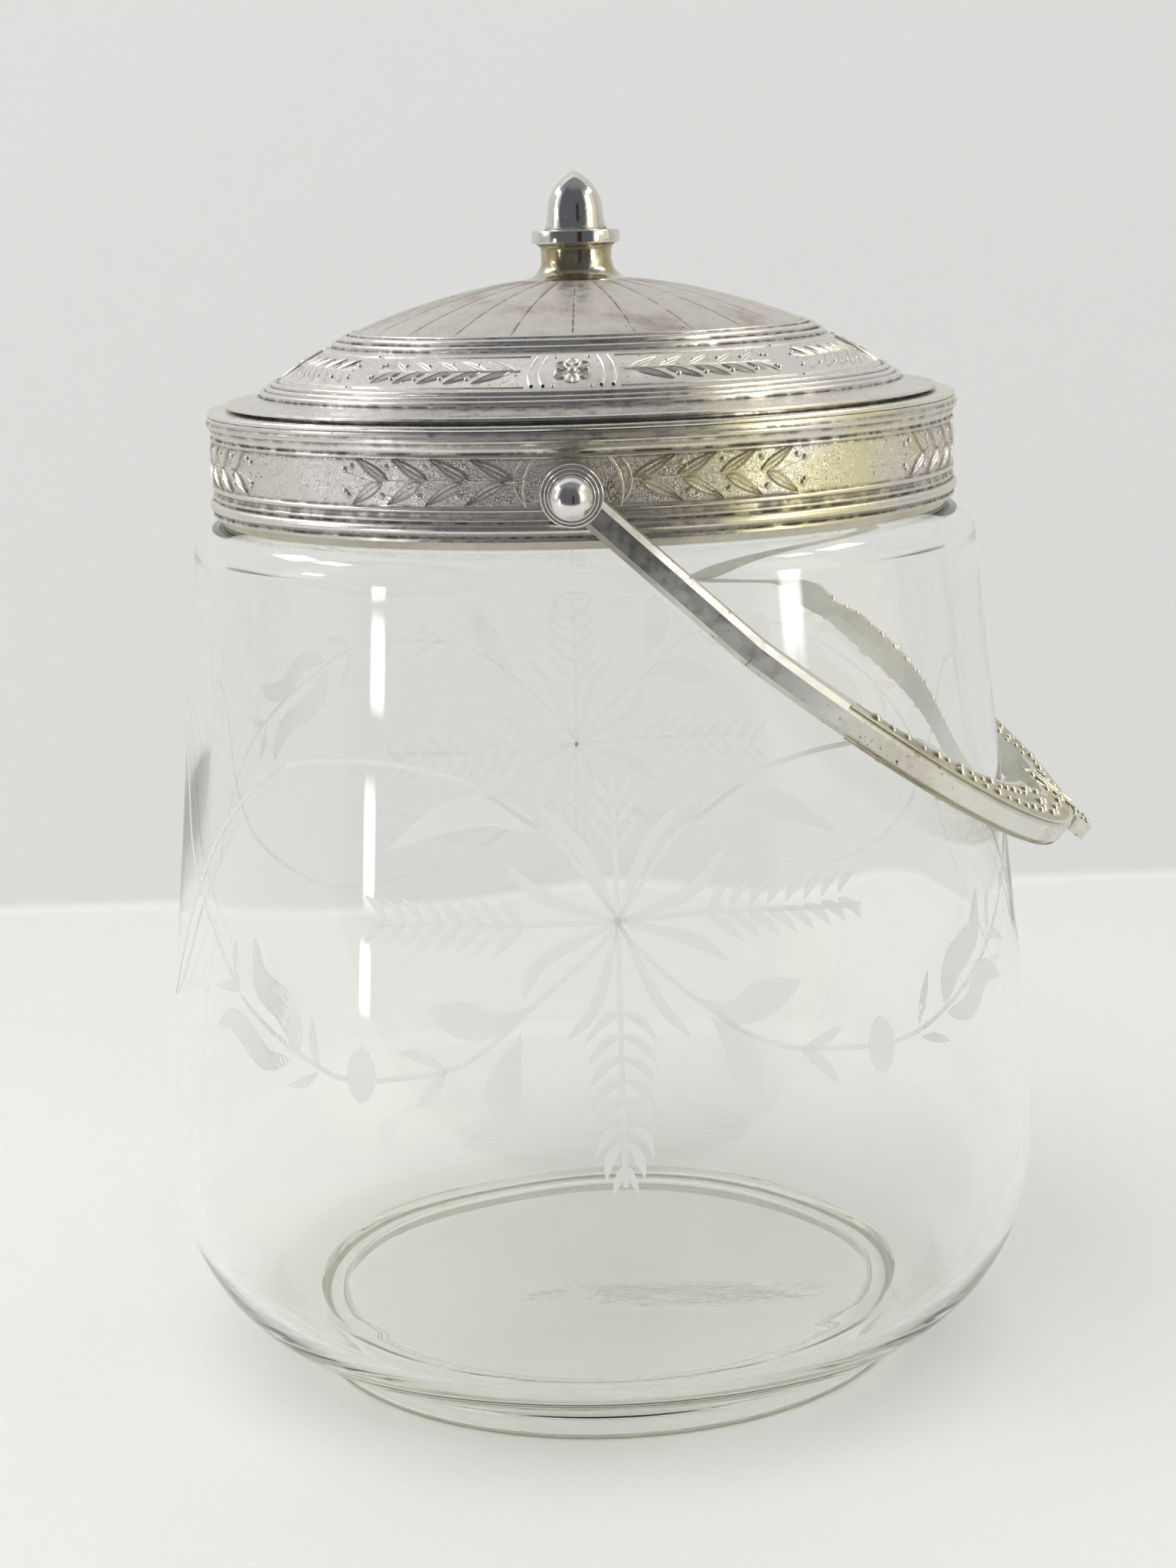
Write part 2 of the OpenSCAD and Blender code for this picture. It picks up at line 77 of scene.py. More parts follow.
class Nodes:
    """A short way to write the nodes of a material, of the world or of a lamp."""

    def __init__(self, owner):
        owner.use_nodes = True
        self.tree = owner.node_tree

    def clear(self, output, place):
        """Start anew with an output and the coordinates that patterns follow."""
        self.tree.nodes.clear()
        self.out = self.node(output)
        self.place = self.node("ShaderNodeTexCoord").outputs[place]

    def put(self, socket, value):
        if isinstance(value, bpy.types.NodeSocket):
            self.tree.links.new(value, socket)
        elif isinstance(value, tuple) and socket.type == "RGBA":
            socket.default_value = (*value, 1)
        else:
            socket.default_value = value

    def node(self, kind, inputs=(), **settings):
        made = self.tree.nodes.new(kind)
        for key, value in settings.items():
            setattr(made, key, value)
        for key, value in dict(inputs).items():
            self.put(made.inputs[key], value)
        return made

    def noise(self, scale, detail=3.0, roughness=0.55, place=None):
        inputs = {"Vector": place or self.place, "Scale": scale, "Detail": detail, "Roughness": roughness}
        return self.node("ShaderNodeTexNoise", inputs).outputs["Fac"]

    def step(self, value, low, high, to_low=0.0, to_high=1.0):
        """Smooth step from to_low to to_high as value goes from low to high."""
        inputs = {0: value, 1: low, 2: high, 3: to_low, 4: to_high}
        return self.node("ShaderNodeMapRange", inputs, interpolation_type="SMOOTHSTEP").outputs[0]

    def between(self, value, low, in_full, full_to, high):
        """1 from in_full to full_to, fading to 0 at low and at high."""
        return self.times(self.step(value, low, in_full), self.step(value, high, full_to))

    def math(self, operation, a, b=0.0):
        return self.node("ShaderNodeMath", {0: a, 1: b}, operation=operation).outputs[0]

    def times(self, a, b):
        return self.math("MULTIPLY", a, b)

    def most(self, a, b):
        return self.math("MAXIMUM", a, b)

    def mix(self, share, a, b):
        return self.node("ShaderNodeMix", {0: share, 6: a, 7: b}, data_type="RGBA").outputs[2]

    def xyz(self):
        return self.node("ShaderNodeSeparateXYZ", {0: self.place}).outputs

    def around(self, turns, rise):
        """Place unrolled round the axis, so that marks can run round it: angle, height and radius."""
        x, y, z = self.xyz()
        radius = self.math("SQRT", self.math("ADD", self.times(x, x), self.times(y, y)))
        angle = self.math("ARCTAN2", y, x)
        inputs = {0: self.times(angle, turns), 1: self.times(z, rise), 2: self.times(radius, rise)}
        return self.node("ShaderNodeCombineXYZ", inputs).outputs[0]

    def bump(self, height, distance, normal=None):
        inputs = {"Height": height, "Distance": distance, "Strength": 1.0}
        if normal:
            inputs["Normal"] = normal
        return self.node("ShaderNodeBump", inputs).outputs[0]

    def surface(self, **inputs):
        named = {key.replace("_", " ").title().replace("Ior", "IOR"): v for key, v in inputs.items()}
        shader = self.node("ShaderNodeBsdfPrincipled", named)
        self.put(self.out.inputs["Surface"], shader.outputs[0])
        return shader

    def let_pass(self, share, shader, **tint):
        """The surface lets a share of the rays pass straight on."""
        clear = self.node("ShaderNodeBsdfTransparent", tint).outputs[0]
        both = self.node("ShaderNodeMixShader", {0: share, 1: shader.outputs[0], 2: clear}).outputs[0]
        self.put(self.out.inputs["Surface"], both)


class Shader(Nodes):
    """A material."""

    def __init__(self, name):
        self.material = bpy.data.materials.new(name)
        super().__init__(self.material)
        self.clear("ShaderNodeOutputMaterial", "Object")


WARM_SHEEN_AND_AGED_TONE, BLOTCHED, DIRT = (0.70, 0.66, 0.44), (0.45, 0.385, 0.33), (0.075, 0.062, 0.048)
GILT, GILT_DARK, DARK_NEAR_EYES = (0.62, 0.5, 0.17), (0.25, 0.19, 0.09), (0.30, 0.285, 0.25)


def hatched(s, z, field, normal):
    """Fine strokes between two heights, in metres, as they are cut in the ground of a relief."""
    low, high = field
    inside = s.between(z, low, low + 0.0003, high - 0.0003, high)
    hatch = s.step(s.noise(1.0, 2, 0.5, s.around(110.0, 5200.0)), 0.42, 0.62)
    strokes = s.step(s.noise(1.0, 2, 0.5, s.around(420.0, 1500.0)), 0.5, 0.66)
    height = s.times(inside, s.math("ADD", s.times(hatch, 0.7), strokes))
    return s.bump(height, 0.000022, normal)


def silver(name, tone, rough, stain, aged_and_sheen, pits, dents=1.0, tarnish=None, field=None, eyes=None):
    """Worn silver plate: stains, yellowed patches all round with painted warm sheen added on the front right
    side, pits, dirt in the hollows and softly dented sheet.
    """
    s = Shader(name)
    x, y, z = s.xyz()
    cloud = s.noise(45, 5, 0.62)
    fine = s.noise(420, 4, 0.6)
    grit = s.noise(1700, 2, 0.5)
    hollow = s.node("ShaderNodeAttribute", attribute_name="hollow").outputs["Fac"]
    blotch = s.step(cloud, 0.52, 0.72)
    # The front right side gets more of the yellowed tone: painted warm reflection of the light from the
    # right, on top of yellowed patches all round.
    painted_warm_side = s.times(s.step(x, -0.012, 0.03), s.step(y, 0.03, -0.02))
    patches_with_sheen = s.times(s.step(s.noise(28, 3), 0.36, 0.6), s.math("ADD", s.times(painted_warm_side, 0.8), 0.2))
    colour = s.mix(s.times(patches_with_sheen, aged_and_sheen), tone, WARM_SHEEN_AND_AGED_TONE)
    colour = s.mix(s.times(blotch, stain), colour, BLOTCHED)
    if tarnish:
        low, high = tarnish
        belt = s.between(z, low - 0.001, low + 0.001, high - 0.0006, high + 0.0006)
        gilt = s.times(belt, s.step(s.noise(230, 4, 0.6), 0.34, 0.58, 0.1, 0.75))
        colour = s.mix(gilt, colour, s.mix(s.noise(700, 3), GILT, GILT_DARK))
    speck = s.times(s.step(grit, 0.66, 0.72), s.step(cloud, 0.45, 0.62))
    if eyes:
        # The handle is painted a darker tone near the pivot eyes.
        near = s.times(s.step(x, eyes, eyes * 0.5), s.step(z, 0.10, 0.12))
        colour = s.mix(s.times(near, s.step(fine, 0.25, 0.6, 1.0, 0.75)), colour, DARK_NEAR_EYES)
    grime = s.times(hollow, s.step(fine, 0.34, 0.6, 0.25, 1.0))
    dirt = s.most(s.times(speck, pits), grime)
    colour = s.mix(dirt, colour, DIRT)
    worn = s.step(fine, 0.3, 0.7, rough * 0.75, rough * 1.35)
    worn = s.math("ADD", worn, s.times(blotch, 0.18 * stain + 0.04))
    worn = s.math("ADD", worn, s.times(dirt, 0.35))
    normal = s.bump(s.noise(110, 2, 0.4), 0.00009 * dents)
    normal = s.bump(s.noise(1.0, 3, 0.7, s.around(9.0, 2600.0)), 0.000004, normal)
    if field:
        normal = hatched(s, z, field, normal)
    normal = s.bump(dirt, -0.00002, normal)
    metal = s.step(dirt, 0.0, 1.0, 1.0, 0.25)
    s.surface(base_color=colour, metallic=metal, roughness=worn, normal=normal)
    return s.material


def clear_glass():
    """Clear, faintly green in thick places, with a torn tool mark under the floor."""
    s = Shader("blown_glass")
    x, y, z = s.xyz()
    mark = s.between(x, -0.018, -0.008, 0.026, 0.040)
    mark = s.times(mark, s.step(z, 0.0035, 0.0028))
    mark = s.times(mark, s.between(y, -0.019, -0.014, -0.012, -0.005))
    fine = s.node("ShaderNodeVectorMath", {0: s.place, 1: (130, 420, 1)}, operation="MULTIPLY").outputs[0]
    torn = s.noise(1.0, 5, 0.7, fine)
    mark = s.times(mark, s.step(s.noise(70, 3), 0.42, 0.6))
    normal = s.bump(s.noise(26, 2, 0.3), 0.00004)
    normal = s.bump(s.times(torn, mark), 0.0007, normal)
    shader = s.surface(
        base_color=(1.0, 1.0, 0.995), roughness=0.0, ior=1.5, transmission_weight=1.0, normal=normal
    )
    shadow = s.node("ShaderNodeLightPath").outputs["Is Shadow Ray"]
    s.let_pass(shadow, shader, Color=(0.97, 0.975, 0.965))
    green = s.node("ShaderNodeVolumeAbsorption", {"Color": (0.78, 0.84, 0.66), "Density": 8.0})
    s.put(s.out.inputs["Volume"], green.outputs[0])
    return s.material


def cut_glass(name, alpha):
    """Wheel-cut and matt, so it scatters light. The copy for the back, seen through the jar, is made more
    see-through so that the shade falling on its cuts shows less: a copy lightened against shade.
    """
    s = Shader(name)
    normal = s.bump(s.noise(900, 3, 0.6), 0.00004)
    tone = (0.95, 0.95, 0.935)
    s.surface(base_color=tone, roughness=0.6, ior=1.3, transmission_weight=0.62, alpha=alpha, normal=normal)
    return s.material


def ground_glass_with_painted_shade():
    s = Shader("ground_glass_with_painted_shade")
    # Ground edge of the foot. Its dark olive tone is partly painted shade: the dark contact with the cloth as
    # seen in the glass.
    tone = s.mix(s.noise(400, 3), (0.60, 0.61, 0.50), (0.42, 0.44, 0.33))
    s.surface(base_color=tone, roughness=0.7, ior=1.45, transmission_weight=0.25)
    return s.material


def brass():
    s = Shader("turned_brass")
    tone = s.mix(s.noise(300, 3), (0.62, 0.46, 0.2), (0.42, 0.3, 0.14))
    s.surface(base_color=tone, metallic=1.0, roughness=s.step(s.noise(700, 2), 0.3, 0.7, 0.25, 0.5))
    return s.material


def plaster():
    s = Shader("set_plaster")
    grain = s.noise(500, 5, 0.65)
    tone = s.mix(s.step(s.noise(90, 4), 0.4, 0.7), (0.72, 0.68, 0.55), (0.45, 0.4, 0.28))
    s.surface(base_color=s.mix(grain, tone, (0.8, 0.76, 0.64)), roughness=0.9, normal=s.bump(grain, 0.0004))
    return s.material


# tone, roughness, stain, yellowing with painted warm sheen, pits and dents
SILVER = silver("silver_rim", (0.80, 0.785, 0.755), 0.24, 0.25, 0.75, 0.55)
BAND = silver("silver_collar", (0.71, 0.685, 0.66), 0.28, 0.25, 0.95, 0.5, field=(0.1459, 0.1529))
SATIN = silver("silver_dome", (0.70, 0.665, 0.63), 0.46, 0.8, 0.1, 0.9, 1.6)
FINIAL = silver("silver_finial", (0.74, 0.725, 0.70), 0.1, 0.2, 0.35, 0.6, 0.8, tarnish=(0.1762, 0.1812))
LID = silver("silver_lid", (0.76, 0.735, 0.71), 0.27, 0.3, 0.3, 0.5)
HANDLE = silver("silver_handle", (0.75, 0.75, 0.71), 0.42, 0.4, 0.25, 1.0, 0.8, eyes=0.016)
OLD = silver("silver_old", (0.62, 0.58, 0.46), 0.42, 0.7, 0.6, 0.6)
WORN = silver("silver_worn", (0.77, 0.745, 0.64), 0.22, 0.35, 0.5, 0.6, 0.5)
SCREW = silver("silver_screw", (0.78, 0.75, 0.75), 0.19, 0.5, 0.2, 1.0, 3.0)
FRIEZE = silver("silver_frieze", (0.80, 0.775, 0.745), 0.4, 0.2, 0.3, 0.4, 0.5)
GLASS, GROUND_WITH_PAINTED_SHADE, BRASS, PLASTER = clear_glass(), ground_glass_with_painted_shade(), brass(), plaster()
# The back copy is more see-through only to lighten the shade that falls on its cuts.
CUT, CUT_BACK = cut_glass("cut_glass", 0.85), cut_glass("cut_glass_back", 0.22)


# ---- shapes


def show(name, data):
    obj = bpy.data.objects.new(name, data)
    scene.collection.objects.link(obj)
    return obj


def mesh_of(name, points, faces):
    """Mesh from points in mm."""
    mesh = bpy.data.meshes.new(name)
    mesh.from_pydata((np.asarray(points, float) * MM).tolist(), [], faces)
    mesh.update()
    return mesh


def solid(name, points, faces, material, body, hollow=None, sharp=SMOOTH):
    mesh = mesh_of(name, points, faces)
    if hollow is not None:
        layer = mesh.attributes.new("hollow", "FLOAT", "POINT")
        layer.data.foreach_set("value", np.asarray(hollow, np.float32))
    obj = show(name, mesh)
    mesh.materials.append(material)
    mesh.shade_smooth()
    mesh.set_sharp_from_angle(angle=radians(sharp))
    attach(obj, body)
    return obj


def sheet(first, rows, columns, wrap=True):
    """Numbers of the points in rows, closed round if wrap is set, and the faces between them."""
    index = first + np.arange(rows * columns).reshape(rows, columns)
    if wrap:
        index = np.concatenate([index, index[:, :1]], 1)
    faces = np.stack([index[:-1, :-1], index[:-1, 1:], index[1:, 1:], index[1:, :-1]], -1)
    return index, faces.reshape(-1, 4).tolist()


def turned(angle, r, z):
    """Places at angles round the axis, counted from the front."""
    return np.stack([r * np.sin(angle), -r * np.cos(angle), z], -1)


def arc(centre, r, start, end, steps=8):
    angles = np.radians(np.linspace(start, end, steps + 1))
    return [(centre[0] + r * cos(a), centre[1] + r * sin(a)) for a in angles]


def dense(points, most):
    """The outline with no step longer than most."""
    out = [points[0]]
    for a, b in zip(points, points[1:]):
        n = max(1, ceil(dist(a, b) / most))
        out += [(a[0] + (b[0] - a[0]) * i / n, a[1] + (b[1] - a[1]) * i / n) for i in range(1, n + 1)]
    return out


def with_reeds(points, reeds, most=0.14):
    """The outline, read with the solid on its left, with round reeds (r, z, size) standing on it."""
    line = np.array(dense(points, most))
    along = np.gradient(line, axis=0)
    along /= np.linalg.norm(along, axis=1)[:, None]
    out = np.stack([along[:, 1], -along[:, 0]], 1)
    lift = np.zeros(len(line))
    for r, z, size in reeds:
        gap = np.array([r, z]) - line
        side = (gap * along).sum(1)
        high = (gap * out).sum(1) + np.sqrt(np.maximum(size**2 - side**2, 0))
        lift = np.where(np.abs(side) < size, np.maximum(lift, high), lift)
    return (line + out * lift[:, None]).tolist()


def hollows(outline, reach=0.3):
    """How deep in a corner each point of the outline lies, 0 to 1; solid on its left."""
    p = np.array(outline)
    step = np.diff(p, axis=0)
    length = np.maximum(np.linalg.norm(step, axis=1), 1e-9)
    s = np.concatenate([[0], np.cumsum(length)])
    turn = np.zeros(len(p))
    cross = step[:-1, 0] * step[1:, 1] - step[:-1, 1] * step[1:, 0]
    turn[1:-1] = np.maximum(-np.arcsin(np.clip(cross / (length[:-1] * length[1:]), -1, 1)), 0)
    near = np.exp(-(((s[:, None] - s[None, :]) / reach) ** 2))
    return np.clip((near * turn[None, :]).sum(1) * 0.9, 0, 1)


def lathe(
    name, outline, material, body, segments=360, closed=True, wave=None, sharp=SMOOTH
):
    """Turned piece. wave(angle, r, z) gives what to add to the radius."""
    outline = [tuple(p) for p in outline]
    hollow_line = hollows(outline + outline[:1] if closed else outline)
    angles = np.arange(segments) * TAU / segments
    points, rings, hollow = [], [], []
    for (r, z), h in zip(outline, hollow_line):
        first = len(points)
        if r < 1e-6:
            points.append((0, 0, z))
            rings.append([first] * segments)
            hollow.append(h)
            continue
        radii = r + (wave(angles, r, z) if wave else 0 * angles)
        points += list(turned(angles, radii, np.full(segments, z)))
        rings.append(list(range(first, first + segments)))
        hollow += [h] * segments
    faces = []
    pairs = list(zip(rings, rings[1:])) + ([(rings[-1], rings[0])] if closed else [])
    for low, high in pairs:
        if low[0] == low[1] and high[0] == high[1]:
            continue
        for i in range(segments):
            j = (i + 1) % segments
            corners = [low[i], low[j], high[j], high[i]]
            faces.append(list(dict.fromkeys(corners)))
    return solid(name, points, faces, material, body, hollow, sharp)


# ---- glass


def side_r(z):
    """Outer radius of the side: round at the belly, then straight to the shoulder."""
    ease = 0.1
    t = (z - BELLY_Z) / (SHOULDER_Z - BELLY_Z)
    share = (sqrt(t * t + ease * ease) - ease) / (sqrt(1 + ease * ease) - ease)
    return BELLY_R - (BELLY_R - SHOULDER_R) * share


def lower_side(t):
    """Place on the quarter of an ellipse from the foot, where t is 0, out to the belly."""
    return FLARE_R + FLARE_OUT * sin(t), BELLY_Z - FLARE_UP * cos(t)


def side_line(inset, low, high, steps=40):
    return [(side_r(z) - inset, z) for z in np.linspace(low, high, steps + 1)]


def glass_outside():
    """From the middle of the hollow base over the foot ring and up to the mouth."""
    foot_in, root, edge_in, edge_out = FOOT_R - FOOT_W, 0.8, 0.7, 0.9
    line = [(0, PUNT_H), (foot_in - root, PUNT_H)]
    line += arc((foot_in - root, PUNT_H - root), root, 90, 0, 4)
    line += arc((foot_in + edge_in, edge_in), edge_in, 180, 270, 4)
    line += arc((FOOT_R - edge_out, edge_out), edge_out, 270, 360, 6)
    line += [lower_side(pi / 2 * i / 40) for i in range(41)]
    line += side_line(0, BELLY_Z + 2.5, SHOULDER_Z)
    line += arc((SHOULDER_R - SHOULDER_ROUND, SHOULDER_Z), SHOULDER_ROUND, 6, 90, 14)
    line += arc((NECK_R + NECK_ROOT, SHOULDER_TOP + NECK_ROOT), NECK_ROOT, 270, 180, 4)
    return line + arc((NECK_R - 1, GLASS_TOP - 1), 1, 0, 90, 4)


def glass_inside():
    """From the mouth down to the middle of the floor; the wall thickens towards the heel."""
    in_r, in_top, turn, corner = SHOULDER_R - WALL, SHOULDER_TOP - 1.1, 1.5, 5.8
    line = arc((MOUTH_R + 1, GLASS_TOP - 1), 1, 90, 180, 4)
    line += arc((MOUTH_R + turn, in_top + turn), turn, 180, 270, 6)
    line += arc((in_r - corner, in_top - corner), corner, 90, 0, 12)
    line += side_line(WALL, in_top - corner - 3, BELLY_Z + 2.5)
    for t in np.radians(np.linspace(88, 8, 41)):
        inward = np.array([-FLARE_UP * sin(t), FLARE_OUT * cos(t)])
        inward /= hypot(*inward)
        thick = WALL + 1.7 * (1 - sin(t)) ** 2
        r, z = lower_side(t)
        r, z = r + thick * inward[0], z + thick * inward[1]
        if z > FLOOR_Z + 0.35:
            line.append((r, z))
    line += [(HEEL_R - 0.5, FLOOR_Z + 0.12), (HEEL_R - 1, FLOOR_Z + 0.02), (HEEL_R - 1.4, FLOOR_Z)]
    return line + [(HEEL_R - 2, FLOOR_Z - 0.02), (40, FLOOR_Z - 0.2), (0, FLOOR_Z - 0.3)]


def blown(a, r, z):
    """How far the inside departs from round, as in blown glass. The outside stays round."""
    if z < FLOOR_Z + 1 or z > UNEVEN_TOP or abs(r - side_r(max(z, BELLY_Z))) < WALL / 2:
        return 0 * a
    fade = min(1.0, (z - FLOOR_Z - 1) / 20, (UNEVEN_TOP - z) / 20)
    waves = 0.12 * np.sin(3 * a + 0.05 * z) + 0.08 * np.sin(7 * a - 0.11 * z + 1)
    return fade * (waves + 0.05 * np.sin(13 * a + 2))


def make_glass():
    outline = glass_outside() + glass_inside()
    obj = lathe("jar_glass", outline, GLASS, "jar", 288, closed=False, wave=blown, sharp=60)
    # The foot's ground edge, whose dark olive tone is partly painted shade.
    obj.data.materials.append(GROUND_WITH_PAINTED_SHADE)
    for face in obj.data.polygons:
        corners = [obj.data.vertices[i].co for i in face.vertices]
        low = all(co.z < GROUND_H * MM for co in corners)
        outer = all(co.xy.length > (FOOT_R - GROUND_W) * MM for co in corners)
        face.material_index = 1 if low and outer else 0
    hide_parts("glass_jar")


# ---- small forms that follow a surface


def on_glass(s, z, h, back=False):
    """s round the glass from the front; the back carries the motif upside down."""
    z = np.where(back, 2 * MOTIF_Z - z, z)
    angle = s / ROUND_R + (pi if back else 0.0)
    return turned(angle, np.vectorize(side_r)(z) + h, z)


def on_band(s, t, h):
    """s round the band from a pivot, t up from the middle of its field."""
    return turned(s / BAND_R, BAND_R + h, FIELD_Z + t)


def on_frieze(s, t, h):
    """s round the lid's frieze at its middle radius, t up its slope from the middle."""
    low, high = np.array(FRIEZE_LOW), np.array(FRIEZE_HIGH)
    length = np.linalg.norm(high - low)
    up = (high - low) / length
    out = np.array([up[1], -up[0]])
    share = t / length + 0.5
    rise = h + 4 * FRIEZE_BULGE * share * (1 - share)
    mid = (low + high) / 2
    r, z = mid[0] + t * up[0] + rise * out[0], mid[1] + t * up[1] + rise * out[1]
    return turned(s / mid[0], r, z)


def on_bail(v, u, w):
    """v from the pivots to the crown, u along the pivots, w up from the middle of the handle."""
    rack, droop = radians(RACK), radians(DROOP)
    y, z = u * cos(rack) - w * sin(rack), u * sin(rack) + w * cos(rack)
    x, z = v * cos(droop) + z * sin(droop), z * cos(droop) - v * sin(droop)
    return np.stack([x, y, z + PIVOT_Z], -1)


def smooth_line(points, steps):
    """Smooth curve through the points, as steps + 1 points."""
    p = np.array(points, float)
    if len(p) == 2:
        return p[0] + (p[1] - p[0]) * np.linspace(0, 1, steps + 1)[:, None]
    p = np.concatenate([[2 * p[0] - p[1]], p, [2 * p[-1] - p[-2]]])
    out = []
    for u in np.linspace(0, len(p) - 3, steps + 1):
        i = min(int(u), len(p) - 4)
        t = u - i
        a, b, c, d = p[i : i + 4]
        curve = 2 * b + (c - a) * t + (2 * a - 5 * b + 4 * c - d) * t**2
        out.append(0.5 * (curve + (3 * b - a - 3 * c + d) * t**3))
    return np.array(out)


def leaf_half(width, belly, blunt, least):
    """Half the width along a leaf that is widest at the share belly of its length."""
    peak = log(0.5) / log(belly)
    return lambda u: np.maximum(width / 2 * np.sin(pi * u**peak) ** blunt, least)


class Relief:
    """Small forms that follow a surface, gathered into one mesh."""

    def __init__(self, surface, grime=1.0):
        self.surface, self.grime = surface, grime
        self.points, self.faces, self.hollow, self.count = [], [], [], 0

    def grid(self, s, t, h, hollow=None, wrap=False):
        """One sheet of points, s, t and h being arrays of the same two sizes."""
        rows, columns = s.shape
        self.points.append(self.surface(s, t, h).reshape(-1, 3))
        self.hollow.append((np.zeros(s.shape) if hollow is None else self.grime * hollow).ravel())
        index, faces = sheet(self.count, rows, columns, wrap)
        self.faces += faces
        self.count += rows * columns
        return index

    def strip(self, line, width, q, height, hollow=None):
        """A form along a line: width(u) is half its width, height(u, q) its height, q across from -1 to 1."""
        line = np.asarray(line, float)
        u = np.linspace(0, 1, len(line))
        along = np.gradient(line, axis=0)
        along /= np.maximum(np.linalg.norm(along, axis=1), 1e-9)[:, None]
        side = np.stack([-along[:, 1], along[:, 0]], 1)
        half = width(u)
        s = line[:, :1] + side[:, :1] * half[:, None] * q[None, :]
        t = line[:, 1:] + side[:, 1:] * half[:, None] * q[None, :]
        uu, qq = np.meshgrid(u, q, indexing="ij")
        return self.grid(s, t, height(uu, qq), None if hollow is None else hollow(uu, qq))

    def leaf(self, points, width, rim=0.22, steps=14, belly=0.45):
        """Raised leaf with a rim, a sunk middle and a vein."""
        q = np.array([-1, -0.9, -0.76, -0.6, -0.35, -0.12, 0, 0.12, 0.35, 0.6, 0.76, 0.9, 1])

        def height(u, q):
            edge = np.exp(-(((np.abs(q) - 0.76) / 0.15) ** 2))
            vein = 0.6 * np.exp(-((q / 0.12) ** 2))
            ends = np.minimum(1, np.minimum(u, 1 - u) * 8 + 0.25)
            return np.where(np.abs(q) > 0.99, -0.04, 0.03 + rim * ends * np.maximum(edge, vein))

        def sunk(u, q):
            foot = np.where(np.abs(q) > 0.85, 0.55, 0.0)
            return np.where((np.abs(q) > 0.2) & (np.abs(q) < 0.55), 0.4, foot)

        half = leaf_half(width, belly, 0.85, 0.03)
        self.strip(smooth_line(points, steps), half, q, height, sunk)

    def stem(self, points, width, rise, steps=24, taper=0.0):
        q = np.array([-1, -0.6, 0, 0.6, 1])
        self.strip(
            smooth_line(points, steps),
            lambda u: width / 2 * (1 - taper * u),
            q,
            lambda u, q: np.where(np.abs(q) > 0.99, -0.04, rise * np.sqrt(np.maximum(1 - q * q, 0))),
        )

    def berry(self, s, t, r, rise=0.8):
        angles = np.arange(12) * TAU / 12
        tilt = np.radians([90, 74, 50, 25, 1])
        a, e = np.meshgrid(angles, tilt)
        index = self.grid(
            s + r * np.sin(e) * np.cos(a),
            t + r * np.sin(e) * np.sin(a),
            r * rise * np.cos(e) - 0.03,
            np.where(e > 1.4, 0.8, 0.0),
            wrap=True,
        )
        self.faces.append(index[-1, :-1].tolist())

    def make(self, name, material, body, slot="silver_plate", sharp=60):
        points, hollow = np.concatenate(self.points), np.concatenate(self.hollow)
        return solid(name, points, self.faces, material, body, hollow, sharp)


# ---- engraving on the glass


class Cuts(Relief):
    """Wheel cuts: thin matt forms just off the glass, closed all round."""

    def cut(self, points, width, belly=0.5, blunt=0.85, steps=16, half=None):
        line, q = smooth_line(points, steps), np.linspace(-1, 1, 7)
        half = half or leaf_half(width, belly, blunt, 0.06)
        top = self.strip(line, half, q, lambda u, q: CUT_HIGH + 0 * q)
        low = self.strip(line, half, q, lambda u, q: CUT_LOW + 0 * q)
        loops = [(*g[:, 0], *g[-1, 1:-1], *g[::-1, -1], *g[0, -2:0:-1]) for g in (top, low)]
        upper, lower = ([int(i) for i in loop] for loop in loops)
        around = zip(upper, upper[1:] + upper[:1], lower[1:] + lower[:1], lower)
        self.faces += [list(face) for face in around]

    def vine(self, points, steps, width=0.75):
        self.cut(points, width, steps=steps, half=lambda u: np.full(len(u), width / 2))

    def oval(self, s, z, width, height):
        self.cut([(s, z + height / 2), (s, z), (s, z - height / 2)], width, blunt=0.55)


